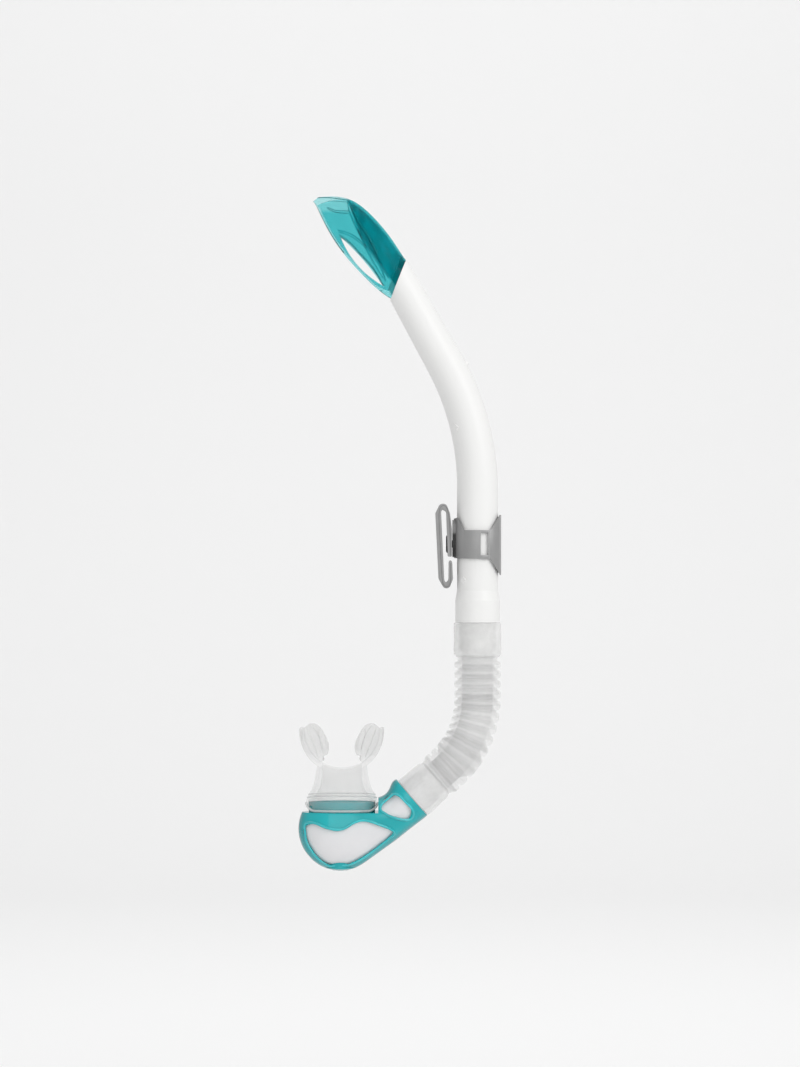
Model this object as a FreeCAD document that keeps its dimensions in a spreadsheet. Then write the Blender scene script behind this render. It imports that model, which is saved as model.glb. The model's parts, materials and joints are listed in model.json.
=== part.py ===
import FreeCAD, Part
import math
import os

import Sketcher
from FreeCAD import Placement, Rotation, Vector

# A diver's snorkel tube with a soft corrugated elbow. Millimetres. The tube stands
# upright along +Z, its bends all lie in the XZ plane, and the origin is the middle
# of the slot in the keeper's clip, which the mask strap runs through along Y.

SIZES = (
    ("clip_standoff", 6.9, "strap slot to the outside of the straight tube, along X"),
    ("tube_radius", 12.3, "outside of the straight tube"),
    ("tube_bore", 10.4, "bore radius of the straight tube"),
    ("tube_straight_top", 34.0, "height where the straight tube starts to bend"),
    ("tube_bend_radius", 156.0, "centreline radius of the tube's bend"),
    ("tube_bend_angle", 29.0, "turn of the tube's bend, degrees"),
    ("tube_mid_radius", 11.3, "outside where the bend ends"),
    ("tube_top_run", 57.4, "straight length above the bend"),
    ("tube_top_radius", 10.0, "outside at the splash guard"),
    ("tube_top_bore", 7.2, "bore radius at the splash guard"),
    ("tube_foot", 45.6, "depth of the tube's shoulder below the slot"),
    ("foot_length", 13.0, "height of the thicker foot of the tube"),
    ("foot_radius", 13.35, "outside of the thicker foot"),
    ("foot_spigot_radius", 11.2, "spigot that the upper hose cuff grips"),
    ("foot_spigot_length", 16.0, "length of that spigot"),
    ("top_spigot_radius", 8.3, "spigot that the splash guard sits on"),
    ("top_spigot_length", 4.5, "length of that spigot"),
    ("nub_size", 4.4, "width of a stop nub"),
    ("nub_height", 0.5, "how far a stop nub stands out"),
    ("guard_wall", 1.5, "wall of the splash guard"),
    ("guard_depth", 12.6, "half the splash guard's width across the diver"),
    ("baffle_thickness", 1.2, "inner vane of the splash guard"),
    ("liner_gap", 0.06, "running gap between tube and liner"),
    ("liner_wall", 0.74, "wall of the keeper's liner"),
    ("ring_gap", 0.05, "running gap between liner and ring"),
    ("ring_wall", 1.05, "wall of the keeper ring"),
    ("ring_top", 9.6, "upper edge of the keeper ring"),
    ("ring_bottom", 7.2, "depth of the lower edge of the keeper ring"),
    ("window_width", 4.6, "window in the keeper ring"),
    ("window_height", 13.2, "height of that window"),
    ("clip_depth", 13.0, "depth of the strap clip along the strap"),
    ("clip_height", 25.3, "half the strap clip's height"),
    ("clip_arm", 3.3, "thickness of the clip's arms"),
    ("slot_width", 2.6, "width of the slot for the mask strap"),
    ("pin_radius", 2.2, "shank of the swivel pin"),
    ("pin_head_radius", 5.4, "head of the swivel pin"),
    ("pin_gap", 0.05, "running gap between pin and clip"),
    ("pin_height", 1.2, "height of the swivel pin above the slot's middle"),
    ("cuff_radius", 14.25, "outside of the upper hose cuff"),
    ("cuff_length", 21.0, "length of the upper hose cuff"),
    ("hose_bore", 9.3, "smooth bore radius of the hose"),
    ("hose_valley", 11.6, "outside of the hose between two ribs"),
    ("hose_rib", 14.0, "outside of a rib"),
    ("hose_pitch", 6.0, "distance from rib to rib"),
    ("rib_crest", 3.3, "thickness of a rib near its crest"),
    ("hose_turn", 49.0, "turn of the hose at rest, degrees"),
    ("hose_gap", 1.6, "gap between two hose segments"),
    ("lower_cuff_radius", 13.2, "outside of the lower hose cuff"),
    ("lower_cuff_length", 18.54, "length of the lower hose cuff"),
    ("swivel_radius", 10.6, "spigot of the breathing chamber in its cuff"),
    ("swivel_bore", 8.6, "bore radius of that spigot"),
    ("swivel_length", 11.0, "length of that spigot"),
    ("bowl_radius", 25.2, "radius of the breathing chamber's bowl"),
    ("bowl_depth", 17.0, "half the breathing chamber's width across"),
    ("frame_wall", 1.2, "wall of the chamber's outer frame"),
    ("shell_wall", 1.5, "wall of the chamber's inner shell"),
    ("purge_radius", 8.9, "outside of the purge valve's seat"),
    ("valve_lift", 1.2, "how far the purge valve opens"),
    ("port_width", 19.9, "half the width of the mouthpiece port"),
    ("port_depth", 10.9, "half the depth of the mouthpiece port"),
    ("bite_width", 25.4, "half the width of the mouthpiece flange"),
    ("bite_thickness", 4.6, "thickness of a bite tab"),
)
HOSE_STRAIGHT_ABOVE = 4
HOSE_IN_BEND = 8
HOSE_STRAIGHT_BELOW = 1
CUFF_CONE = 3.2
OVAL_POINTS = 16
FAR = 400.0

doc = FreeCAD.newDocument("snorkel_tube")
sheet = doc.addObject("Spreadsheet::Sheet", "Sizes")
for row, (alias, number, note) in enumerate(SIZES, 1):
    sheet.set(f"A{row}", alias)
    sheet.set(f"B{row}", str(number))
    sheet.setAlias(f"B{row}", alias)
    sheet.set(f"C{row}", note)
doc.recompute()


class Size:
    """A length that knows its value and the sheet expression that gives it."""

    def __init__(self, value, text=None):
        self.value = float(value)
        self.text = text or f"{value:.6f}"

    @staticmethod
    def of(other):
        return other if isinstance(other, Size) else Size(other)

    def __add__(self, other):
        other = Size.of(other)
        return Size(self.value + other.value, f"({self.text} + {other.text})")

    def __sub__(self, other):
        other = Size.of(other)
        return Size(self.value - other.value, f"({self.text} - {other.text})")

    def __mul__(self, factor):
        return Size(self.value * factor, f"({self.text} * {factor})")

    def __neg__(self):
        return self * -1


def cell(alias):
    return Size(getattr(sheet, alias), f"Sizes.{alias}")


def mm(alias):
    return cell(alias).value


# ---------------------------------------------------------------- PartDesign helpers

pieces = []


def new_body(label):
    body = doc.addObject("PartDesign::Body", label)
    body.Label = label
    pieces.append(body)
    return body


def origin_plane(body, role):
    for item in body.Origin.OriginFeatures:
        if item.Role == role:
            return item
    raise ValueError(role)


def new_sketch(body, role, name):
    sketch = body.newObject("Sketcher::SketchObject", f"{body.Name}_{name}")
    sketch.AttachmentSupport = [(origin_plane(body, role), "")]
    sketch.MapMode = "FlatFace"
    return sketch


def pin_point(sketch, edge, end, across, up):
    """Ties one end of an edge to the sketch's origin by two bound distances."""
    for kind, size, axis in (("DistanceX", across, -2), ("DistanceY", up, -1)):
        if abs(size.value) < 1e-9:
            sketch.addConstraint(Sketcher.Constraint("PointOnObject", edge, end, axis))
            continue
        index = sketch.addConstraint(
            Sketcher.Constraint(kind, -1, 1, edge, end, size.value)
        )
        sketch.setExpression(f"Constraints[{index}]", size.text)


def add_polygon(sketch, points):
    """Closed outline of straight edges, each corner bound to the sheet."""
    corners = [(Size.of(a), Size.of(b)) for a, b in points]
    first = sketch.GeometryCount
    count = len(corners)
    for i in range(count):
        a, b = corners[i], corners[(i + 1) % count]
        start = Vector(a[0].value, a[1].value, 0)
        end = Vector(b[0].value, b[1].value, 0)
        sketch.addGeometry(Part.LineSegment(start, end), False)
    for i in range(count):
        after = first + (i + 1) % count
        sketch.addConstraint(Sketcher.Constraint("Coincident", first + i, 2, after, 1))
    for i, (across, up) in enumerate(corners):
        pin_point(sketch, first + i, 1, across, up)


def add_circle(sketch, across, up, radius):
    across, up, radius = Size.of(across), Size.of(up), Size.of(radius)
    centre = Vector(across.value, up.value, 0)
    normal = Vector(0, 0, 1)
    edge = sketch.addGeometry(Part.Circle(centre, normal, radius.value), False)
    pin_point(sketch, edge, 3, across, up)
    index = sketch.addConstraint(Sketcher.Constraint("Radius", edge, radius.value))
    sketch.setExpression(f"Constraints[{index}]", radius.text)


def turned(label, outline):
    """A body turned about its own Z axis from corners of (radius, height)."""
    body = new_body(label)
    sketch = new_sketch(body, "XZ_Plane", "outline")
    add_polygon(sketch, outline)
    turn = body.newObject("PartDesign::Revolution", f"{label}_turned")
    turn.Profile = sketch
    turn.ReferenceAxis = (sketch, ["V_Axis"])
    turn.Angle = 360
    return body


def pad(body, sketch, length, name, both_ways=False):
    length = Size.of(length)
    feature = body.newObject("PartDesign::Pad", f"{body.Name}_{name}")
    feature.Profile = sketch
    feature.Length = length.value
    feature.setExpression("Length", length.text)
    feature.Midplane = both_ways
    return feature


def pocket(body, sketch, length, name, both_ways=False, reverse=False):
    """A pocket that must take something away."""
    doc.recompute()
    before = body.Shape.Volume
    length = Size.of(length)
    feature = body.newObject("PartDesign::Pocket", f"{body.Name}_{name}")
    feature.Profile = sketch
    feature.Length = length.value
    feature.setExpression("Length", length.text)
    feature.Midplane = both_ways
    feature.Reversed = reverse
    doc.recompute()
    if body.Shape.Volume > before - 0.01:
        raise ValueError(f"{body.Label}: {name} cuts nothing")
    return feature


def soften(body, base, radius, wanted, name):
    """Fillet on the edges of a body's feature for which wanted(edge) is true."""
    doc.recompute()
    edges = [f"Edge{i}" for i, e in enumerate(base.Shape.Edges, 1) if wanted(e)]
    feature = body.newObject("PartDesign::Fillet", f"{body.Name}_{name}")
    feature.Base = (base, edges)
    feature.Radius = radius
    return feature


def free_form(label, shape, placement=None):
    """A piece whose curved walls are made from sections."""
    feature = doc.addObject("Part::Feature", label)
    feature.Label = label
    feature.Shape = shape
    if placement is not None:
        feature.Placement = placement
    pieces.append(feature)
    return feature


# ---------------------------------------------------------------- section helpers


def oval(centre, across, along, a, b, egg=0.0):
    """Closed smooth outline with half sizes a and b; egg widens its +across end."""
    points = []
    for i in range(OVAL_POINTS):
        turn = 2 * math.pi * i / OVAL_POINTS
        wide = b * math.sin(turn) * (1 + egg * math.cos(turn))
        points.append(centre + across * (a * math.cos(turn)) + along * wide)
    curve = Part.BSplineCurve()
    curve.interpolate(Points=points, PeriodicFlag=True)
    return Part.Wire([curve.toShape()])


def loft(wires):
    return Part.makeLoft(wires, True, False)


def half_space(point, normal):
    """A huge block that fills the side of a plane that its normal points to."""
    block = Part.makeBox(FAR, FAR, FAR, Vector(-FAR / 2, -FAR / 2, 0))
    block.Placement = Placement(point, Rotation(Vector(0, 0, 1), normal))
    return block


def prism(points, half_depth):
    """Straight-edged XZ outline, given as (x, z), extruded both ways along Y."""
    corners = [Vector(x, -half_depth, z) for x, z in points]
    wire = Part.makePolygon(corners + corners[:1])
    return Part.Face(wire).extrude(Vector(0, 2 * half_depth, 0))


def between_arcs(start, middle, end, back_middle, half_depth):
    """XZ leaf between two arcs that share their ends, extruded along Y."""
    a, b, c, d = (Vector(x, -half_depth, z) for x, z in (start, middle, end, back_middle))
    wire = Part.Wire([Part.Arc(a, b, c).toShape(), Part.Arc(c, d, a).toShape()])
    return Part.Face(wire).extrude(Vector(0, 2 * half_depth, 0))


Y_AXIS = Vector(0, 1, 0)
Z_AXIS = Vector(0, 0, 1)
NUB_TURN = 225.0
NUB_LOW_RISE = 25.2
FOOT_CONE = 6.0


def turned_about_y(degrees):
    return Rotation(Y_AXIS, degrees)


# ---------------------------------------------------------------- rigid tube

axis_x = round(mm("clip_standoff") + mm("tube_radius"), 6)
bend = math.radians(mm("tube_bend_angle"))
bend_start = Vector(axis_x, 0, mm("tube_straight_top"))
bend_centre = bend_start - Vector(mm("tube_bend_radius"), 0, 0)


def on_bend(turn):
    reach = Vector(math.cos(turn), 0, math.sin(turn)) * mm("tube_bend_radius")
    return bend_centre + reach


bend_end = on_bend(bend)
top_way = Vector(-math.sin(bend), 0, math.cos(bend))
tube_top = bend_end + top_way * mm("tube_top_run")
# The guard's joint is cut across the tube at a slant, with this rise per mm of width.
SLANT = 0.823
guard_place = Placement(tube_top, turned_about_y(-mm("tube_bend_angle")))
slant_normal = guard_place.Rotation.multVec(Vector(-SLANT, 0, 1)).normalize()


def ring_wire(centre, way, radius):
    return Part.Wire([Part.makeCircle(radius, centre, way)])


def curved_run(low, middle, high, overrun):
    """The bend and the straight run above it, with its radius easing from low to high."""
    top = tube_top + top_way * overrun
    spine = Part.Wire(
        [
            Part.Arc(bend_start, on_bend(bend / 2), bend_end).toShape(),
            Part.LineSegment(bend_end, top).toShape(),
        ]
    )
    shell = Part.BRepOffsetAPI.MakePipeShell(spine)
    shell.add(ring_wire(bend_start, Z_AXIS, low), False, False)
    shell.add(ring_wire(bend_end, top_way, middle), False, False)
    shell.add(ring_wire(top, top_way, high), False, False)
    shell.build()
    shell.makeSolid()
    return shell.shape()


def spun(outline):
    """Solid turned about the straight tube's axis from (radius, height) corners."""
    corners = [Vector(axis_x + r, 0, z) for r, z in outline]
    face = Part.Face(Part.makePolygon(corners + corners[:1]))
    return face.revolve(Vector(axis_x, 0, 0), Z_AXIS, 360)


def stop_nub(centre, lean, radius):
    """A diamond-shaped nub on the tube, facing between the clip and the front."""
    side = mm("nub_size") / math.sqrt(2)
    reach = radius + mm("nub_height")
    block = Part.makeBox(3, side, side, Vector(reach - 3, -side / 2, -side / 2))
    block.rotate(Vector(0, 0, 0), Vector(1, 0, 0), 45)
    block.rotate(Vector(0, 0, 0), Z_AXIS, NUB_TURN)
    block.rotate(Vector(0, 0, 0), Y_AXIS, -math.degrees(lean))
    block.translate(centre)
    return block


def side_nub(distance_down):
    """A small rounded nub on the outside of the curved run, measured from its top."""
    centre = tube_top - top_way * distance_down
    outward = Vector(math.cos(bend), 0, math.sin(bend))
    ease = distance_down / mm("tube_top_run")
    radius = mm("tube_top_radius") + ease * (mm("tube_mid_radius") - mm("tube_top_radius"))
    return Part.makeSphere(1.6, centre + outward * (radius - 0.7))


foot = -mm("tube_foot")
spigot_end = foot - mm("foot_spigot_length")
foot_top = foot + mm("foot_length")
lower = spun(
    [
        (0, spigot_end),
        (mm("foot_spigot_radius"), spigot_end),
        (mm("foot_spigot_radius"), foot),
        (mm("foot_radius"), foot),
        (mm("foot_radius"), foot_top),
        (mm("tube_radius"), foot_top + FOOT_CONE),
        (mm("tube_radius"), mm("tube_straight_top")),
        (0, mm("tube_straight_top")),
    ]
)
lower_bore = spun(
    [
        (0, spigot_end - 1),
        (mm("hose_bore"), spigot_end - 1),
        (mm("hose_bore"), foot),
        (mm("tube_bore"), foot + 4),
        (mm("tube_bore"), mm("tube_straight_top")),
        (0, mm("tube_straight_top")),
    ]
)
upper = curved_run(mm("tube_radius"), mm("tube_mid_radius"), mm("tube_top_radius"), 12)
upper = upper.cut(half_space(tube_top, slant_normal))
upper_bore = curved_run(mm("tube_bore"), mm("tube_bore") - 1.4, mm("tube_top_bore"), 16)
top_spigot = Part.makeCylinder(
    mm("top_spigot_radius"), 32, tube_top - top_way * 16, top_way
)
spigot_cut = tube_top + top_way * mm("top_spigot_length")
top_spigot = top_spigot.cut(half_space(spigot_cut, slant_normal))
nub_low = stop_nub(Vector(axis_x, 0, foot + NUB_LOW_RISE), 0, mm("tube_radius"))
half_bend = bend / 2
half_radius = (mm("tube_radius") + mm("tube_mid_radius")) / 2
nub_high = stop_nub(on_bend(half_bend), half_bend, half_radius)
tube = lower.fuse([upper, top_spigot, nub_low, nub_high])
tube = tube.fuse([side_nub(14.1), side_nub(64.0)])
tube = tube.cut(lower_bore).cut(upper_bore).removeSplitter()
free_form("barrel", tube)

# ---------------------------------------------------------------- splash guard

# Sections of the guard in the tube's own frame at its top: the lower left and the
# upper right point of each, and its half depth across.
GUARD = (
    ((-9.6, -7.9), (9.6, 7.9), 0.82, 0.0),
    ((-14.3, 2.1), (8.9, 14.8), 0.93, 0.06),
    ((-19.2, 19.2), (7.0, 31.5), 1.0, 0.14),
    ((-22.2, 37.3), (3.2, 45.9), 0.84, 0.18),
    ((-22.3, 54.5), (-2.2, 56.1), 0.56, 0.18),
    ((-22.3, 65.6), (-18.0, 66.4), 0.14, 0.0),
)


def guard_section(low, high, depth, egg, wall):
    low, high = Vector(low[0], 0, low[1]), Vector(high[0], 0, high[1])
    across = (high - low).normalize()
    half = (high - low).Length / 2 - wall
    return oval((low + high) * 0.5, across, Y_AXIS, half, depth - wall, egg)


def guard_solid(wall):
    wires = []
    for low, high, share, egg in GUARD:
        depth = share * mm("guard_depth")
        if wall > 0 and depth < 2.4 * wall:
            continue
        wires.append(guard_section(low, high, depth, egg, wall))
    return wires


guard_outer = loft(guard_solid(0.0))
guard_wall = mm("guard_wall")
socket_radius = mm("top_spigot_radius") + 0.02
spigot_face = Vector(-SLANT, 0, 1).normalize()
inner_wires = guard_solid(guard_wall)[1:]
slant_half = socket_radius * math.sqrt(1 + SLANT * SLANT)
slant_across = Vector(1, 0, SLANT).normalize()
narrowed = 0.97
first_inner = oval(
    Vector(0, 0, 3.0), slant_across, Y_AXIS, slant_half * narrowed, socket_radius * narrowed
)
last_inner = oval(Vector(-19.0, 0, 62.2), Vector(1, 0, 0), Y_AXIS, 2.2, 1.3)
guard_inner = loft([first_inner] + inner_wires + [last_inner])
socket = Part.makeCylinder(socket_radius, 30, Vector(0, 0, -14))
socket = socket.cut(half_space(Vector(0, 0, mm("top_spigot_length") + 0.3), spigot_face))
leaf = between_arcs((-18.0, 39.8), (-12.7, 21.5), (-9.9, 0.6), (-17.7, 20.5), 30)
guard = guard_outer.cut(guard_inner).cut(socket).cut(leaf)
free_form("splash_guard", guard, guard_place)

half_vane = mm("baffle_thickness") / 2
vane = between_arcs((-7.6, 3.5), (-8.3 - half_vane, 21), (-6.8, 39), (-8.3 + half_vane, 21), 30)
vane_ends = Part.makeBox(30, 60, 32.5, Vector(-20, -30, 5.0))
vane_room = loft(
    [first_inner] + guard_solid(guard_wall + 0.05)[1:] + [last_inner]
)
vane = vane.common(vane_ends).common(vane_room)
free_form("splash_baffle", vane, guard_place)

# ---------------------------------------------------------------- keeper

liner_inner = cell("tube_radius") + cell("liner_gap")
liner_outer = liner_inner + cell("liner_wall")
ring_inner = liner_outer + cell("ring_gap")
ring_outer = ring_inner + cell("ring_wall")
ring_top = cell("ring_top")
ring_bottom = -cell("ring_bottom")
window_middle = (ring_top + ring_bottom) * 0.5
window_right = 6.2


def window(body, margin):
    """The upright slot on the keeper's front, through one wall only."""
    sketch = new_sketch(body, "XZ_Plane", "window")
    half = cell("window_height") * 0.5 + margin
    right = Size.of(window_right) + margin
    left = Size.of(window_right) - cell("window_width") - margin
    low, high = window_middle - half, window_middle + half
    add_polygon(sketch, [(left, low), (right, low), (right, high), (left, high)])
    pocket(body, sketch, ring_outer + 2, "window_cut", reverse=True)


liner = turned(
    "keeper_liner",
    [
        (liner_inner, ring_bottom + 0.2),
        (liner_outer, ring_bottom + 0.2),
        (liner_outer, ring_top - 0.2),
        (liner_inner, ring_top - 0.2),
    ],
)
window(liner, 0.4)
liner.Placement = Placement(Vector(axis_x, 0, 0), Rotation())

# The ring is cut from a tall sleeve: its band rises into a pointed crest on the far
# side, above and below, and into a shorter one at the swivel.
CREST_TOP = 18.6
CREST_BOTTOM = -17.4
FIN_TOP = 17.1
ring = turned(
    "keeper_ring",
    [
        (ring_inner, Size(CREST_BOTTOM)),
        (ring_outer, Size(CREST_BOTTOM)),
        (ring_outer, Size(CREST_TOP)),
        (ring_inner, Size(CREST_TOP)),
    ],
)
above = new_sketch(ring, "XZ_Plane", "above")
over = ring_outer + 2
add_polygon(
    above,
    [
        (-over, Size(FIN_TOP - 1.4)),
        (Size(-12.0), Size(FIN_TOP)),
        (Size(-8.1), ring_top),
        (Size(7.6), ring_top),
        (Size(12.9), Size(CREST_TOP - 0.6)),
        (Size(13.6), Size(CREST_TOP + 1)),
        (-over, Size(CREST_TOP + 1)),
    ],
)
pocket(ring, above, 40, "above_cut", both_ways=True)
below = new_sketch(ring, "XZ_Plane", "below")
add_polygon(
    below,
    [
        (-over, ring_bottom),
        (Size(7.4), ring_bottom - 0.6),
        (Size(13.2), Size(CREST_BOTTOM + 0.6)),
        (Size(13.6), Size(CREST_BOTTOM - 1)),
        (-over, Size(CREST_BOTTOM - 1)),
    ],
)
pocket(ring, below, 40, "below_cut", both_ways=True)
window(ring, 0)
pin_seat = new_sketch(ring, "YZ_Plane", "pin_seat")
add_circle(pin_seat, 0, cell("pin_height"), cell("pin_radius"))
pocket(ring, pin_seat, ring_outer + 2, "pin_seat_cut", reverse=False)
ring.Placement = Placement(Vector(axis_x, 0, 0), Rotation())

ARM_FACE = 3.8
BASE_FACE = 4.15
base = new_body("swivel_base")
base_sketch = new_sketch(base, "YZ_Plane", "outline")
add_polygon(
    base_sketch, [(-5.4, -6.6), (5.4, -6.6), (5.4, 13.2), (3.6, 15.6), (-3.6, 15.6), (-5.4, 13.2)]
)
pad(base, base_sketch, Size(3.0), "block")
base_hole = new_sketch(base, "YZ_Plane", "hole")
add_circle(base_hole, 0, cell("pin_height"), cell("pin_radius"))
pocket(base, base_hole, 8, "hole_cut", both_ways=True)
hollow = new_sketch(base, "XY_Plane", "hollow")
tube_axis = cell("clip_standoff") + cell("tube_radius")
add_circle(hollow, tube_axis - BASE_FACE, 0, ring_outer)
pocket(base, hollow, 60, "hollow_cut", both_ways=True)
base.Placement = Placement(Vector(BASE_FACE, 0, 0), Rotation())

SHANK_END = 5.2
HEAD_FACE = 0.3
HEAD_BACK = 1.6
swivel = turned(
    "swivel_pin",
    [
        (Size(0), Size(HEAD_FACE)),
        (cell("pin_head_radius") - 1.0, Size(HEAD_FACE)),
        (cell("pin_head_radius"), Size(HEAD_FACE + 0.5)),
        (cell("pin_head_radius"), Size(HEAD_BACK)),
        (cell("pin_radius"), Size(HEAD_BACK)),
        (cell("pin_radius"), Size(SHANK_END)),
        (Size(0), Size(SHANK_END)),
    ],
)
swivel.Placement = Placement(Vector(0, 0, mm("pin_height")), turned_about_y(90))

# The clip is one bent bar: an arm with the swivel's bore, a bend over the top, the
# long front arm, a bend at the foot and a short hook that stops below the first arm.
clip = new_body("strap_clip")
clip_sketch = new_sketch(clip, "XZ_Plane", "outline")
tall = cell("clip_height")
arm = cell("clip_arm")
slot = cell("slot_width")
slot_left = -slot * 0.5
add_polygon(
    clip_sketch,
    [
        (slot_left + slot, Size(-6.4)),
        (slot_left + slot - 0.9, tall - arm - 1.6),
        (slot_left - 0.7, tall - arm),
        (slot_left - 1.4, tall - arm - 1.6),
        (slot_left + 0.5, -tall + arm + 1.6),
        (slot_left + 1.5, -tall + arm),
        (slot_left + slot + 0.5, -tall + arm + 1.6),
        (slot_left + slot + 0.6, Size(-9.4)),
        (slot_left + slot + 1.6, Size(-8.3)),
        (slot_left + slot + arm * 0.8, Size(-9.4)),
        (slot_left + slot + arm * 0.8 + 0.5, -tall + 5.6),
        (slot_left + slot + 0.9, -tall),
        (slot_left - arm + 3.6, -tall),
        (slot_left - arm + 0.4, -tall + 5.6),
        (slot_left - arm - 1.5, tall - 5.6),
        (slot_left - arm + 1.2, tall),
        (slot_left + 1.6, tall),
        (slot_left + slot + arm - 2.0, tall - 5.6),
        (Size(ARM_FACE), Size(10.0)),
        (Size(ARM_FACE), Size(-6.4)),
    ],
)
clip_pad = pad(clip, clip_sketch, cell("clip_depth"), "bar", both_ways=True)


def outer_bend(edge):
    """The four outside corners at the clip's two bends, which run along Y."""
    a, b = edge.Vertexes[0].Point, edge.Vertexes[-1].Point
    along_y = abs(a.x - b.x) < 1e-6 and abs(a.z - b.z) < 1e-6
    return along_y and abs(abs(a.z) - mm("clip_height")) < 0.01


clip_round = soften(clip, clip_pad, 2.4, outer_bend, "bends")
clip.Tip = clip_round
clip_bore = new_sketch(clip, "YZ_Plane", "bore")
add_circle(clip_bore, 0, cell("pin_height"), cell("pin_radius") + cell("pin_gap"))
pocket(clip, clip_bore, 8, "bore_cut", reverse=True)
head_room = new_sketch(clip, "YZ_Plane", "head_room")
add_circle(head_room, 0, cell("pin_height"), cell("pin_head_radius") + 0.4)
pocket(clip, head_room, Size(HEAD_BACK + 0.3), "head_room_cut", reverse=True)

# ---------------------------------------------------------------- corrugated hose

hose_top = foot - mm("cuff_length")
pitch = mm("hose_pitch")
full_turn = math.radians(mm("hose_turn"))
gap = mm("hose_gap")
cuff_foot_gap = gap * 0.6

upper_cuff = turned(
    "hose_upper_cuff",
    [
        (cell("hose_bore"), -cell("cuff_length")),
        (cell("hose_valley") + 1.2, -cell("cuff_length")),
        (cell("cuff_radius"), -cell("cuff_length") + 2.0),
        (cell("cuff_radius") + 0.2, -cell("cuff_length") + 5.0),
        (cell("cuff_radius"), -cell("cuff_length") + 8.0),
        (cell("cuff_radius"), Size(-0.8)),
        (cell("cuff_radius") - 0.8, Size(0)),
        (cell("foot_spigot_radius"), Size(0)),
        (cell("foot_spigot_radius"), -cell("foot_spigot_length")),
        (cell("hose_bore"), -cell("foot_spigot_length") - 1.6),
    ],
)
upper_cuff.Placement = Placement(Vector(axis_x, 0, foot), Rotation())

hose_start = Vector(axis_x, 0, hose_top - 1.3)
turn_radius = HOSE_IN_BEND * pitch / full_turn
turn_start = hose_start - Z_AXIS * (HOSE_STRAIGHT_ABOVE * pitch)


def hose_point(distance):
    """Point on the hose's centreline and its heading from straight down, in radians."""
    above = HOSE_STRAIGHT_ABOVE * pitch
    in_bend = HOSE_IN_BEND * pitch
    if distance <= above:
        return hose_start - Z_AXIS * distance, 0.0
    turned_by = min(distance - above, in_bend) / turn_radius
    reach = Vector(math.cos(turned_by) - 1, 0, -math.sin(turned_by)) * turn_radius
    point = turn_start + reach
    onward = Vector(-math.sin(turned_by), 0, -math.cos(turned_by))
    return point + onward * max(distance - above - in_bend, 0.0), turned_by


def hose_place(distance):
    point, heading = hose_point(distance)
    return Placement(point, turned_about_y(math.degrees(heading)))


segment_count = HOSE_STRAIGHT_ABOVE + HOSE_IN_BEND + HOSE_STRAIGHT_BELOW
# Inside the bend the segments are shorter, so that their inner sides stay apart.
shortening = pitch * mm("hose_valley") / turn_radius
for number in range(segment_count):
    in_bend = HOSE_STRAIGHT_ABOVE <= number < HOSE_STRAIGHT_ABOVE + HOSE_IN_BEND
    half_length = (cell("hose_pitch") - cell("hose_gap")) * 0.5
    half_crest = cell("rib_crest") * 0.5
    if in_bend:
        half_length = half_length - shortening / 2
        half_crest = half_crest - shortening / 5
    segment = turned(
        f"hose_segment_{number + 1:02d}",
        [
            (cell("hose_bore"), -half_length),
            (cell("hose_valley"), -half_length),
            (cell("hose_rib") - 0.5, -half_crest),
            (cell("hose_rib"), half_crest * -0.5),
            (cell("hose_rib"), half_crest * 0.5),
            (cell("hose_rib") - 0.5, half_crest),
            (cell("hose_valley"), half_length),
            (cell("hose_bore"), half_length),
        ],
    )
    segment.Placement = hose_place((number + 0.5) * pitch)

hose_length = segment_count * pitch
cuff_start = hose_length + cuff_foot_gap
lower_cuff = turned(
    "hose_lower_cuff",
    [
        (cell("hose_bore"), Size(0)),
        (cell("hose_valley"), Size(0)),
        (cell("lower_cuff_radius"), Size(-CUFF_CONE)),
        (cell("lower_cuff_radius") + 0.4, -cell("lower_cuff_length")),
        (cell("swivel_radius") + 0.05, -cell("lower_cuff_length")),
        (cell("swivel_radius") + 0.05, -cell("lower_cuff_length") + cell("swivel_length") + 0.3),
        (cell("hose_bore"), -cell("lower_cuff_length") + cell("swivel_length") + 0.5),
    ],
)
lower_cuff.Placement = hose_place(cuff_start)

# ---------------------------------------------------------------- breathing chamber

junction_distance = cuff_start + mm("lower_cuff_length") + 0.3
junction, _ = hose_point(junction_distance)
chamber_way = Vector(-math.sin(full_turn), 0, -math.cos(full_turn))
chamber_side = Vector(math.cos(full_turn), 0, -math.sin(full_turn))
bowl = mm("bowl_radius")
bowl_depth = mm("bowl_depth")
inlet = mm("lower_cuff_radius")
BOWL_ALONG = 44.8
BOWL_SIDE = -14.7
DECK_REACH = 21.9
DECK_WALL = 1.4
FIT = 0.05
# The round neck starts a little before the inlet's face and is trimmed there.
NECK_STATIONS = (-2.0, 8.0)
# Between neck and bowl: distance along, the two side limits, half depth across.
SHOULDER = (
    (15.0, -13.9, 12.8, 13.5),
    (24.0, -22.5, 12.4, 14.6),
    (34.0, -34.5, 11.5, 16.2),
)
BOWL_TURNS = (0, 22, 42, 58, 70, 80)


def chamber_oval(along, side_low, side_high, depth, wall):
    middle = junction + chamber_way * along + chamber_side * ((side_low + side_high) / 2)
    half = (side_high - side_low) / 2 - wall
    return oval(middle, chamber_side, Y_AXIS, half, depth - wall)


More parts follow.
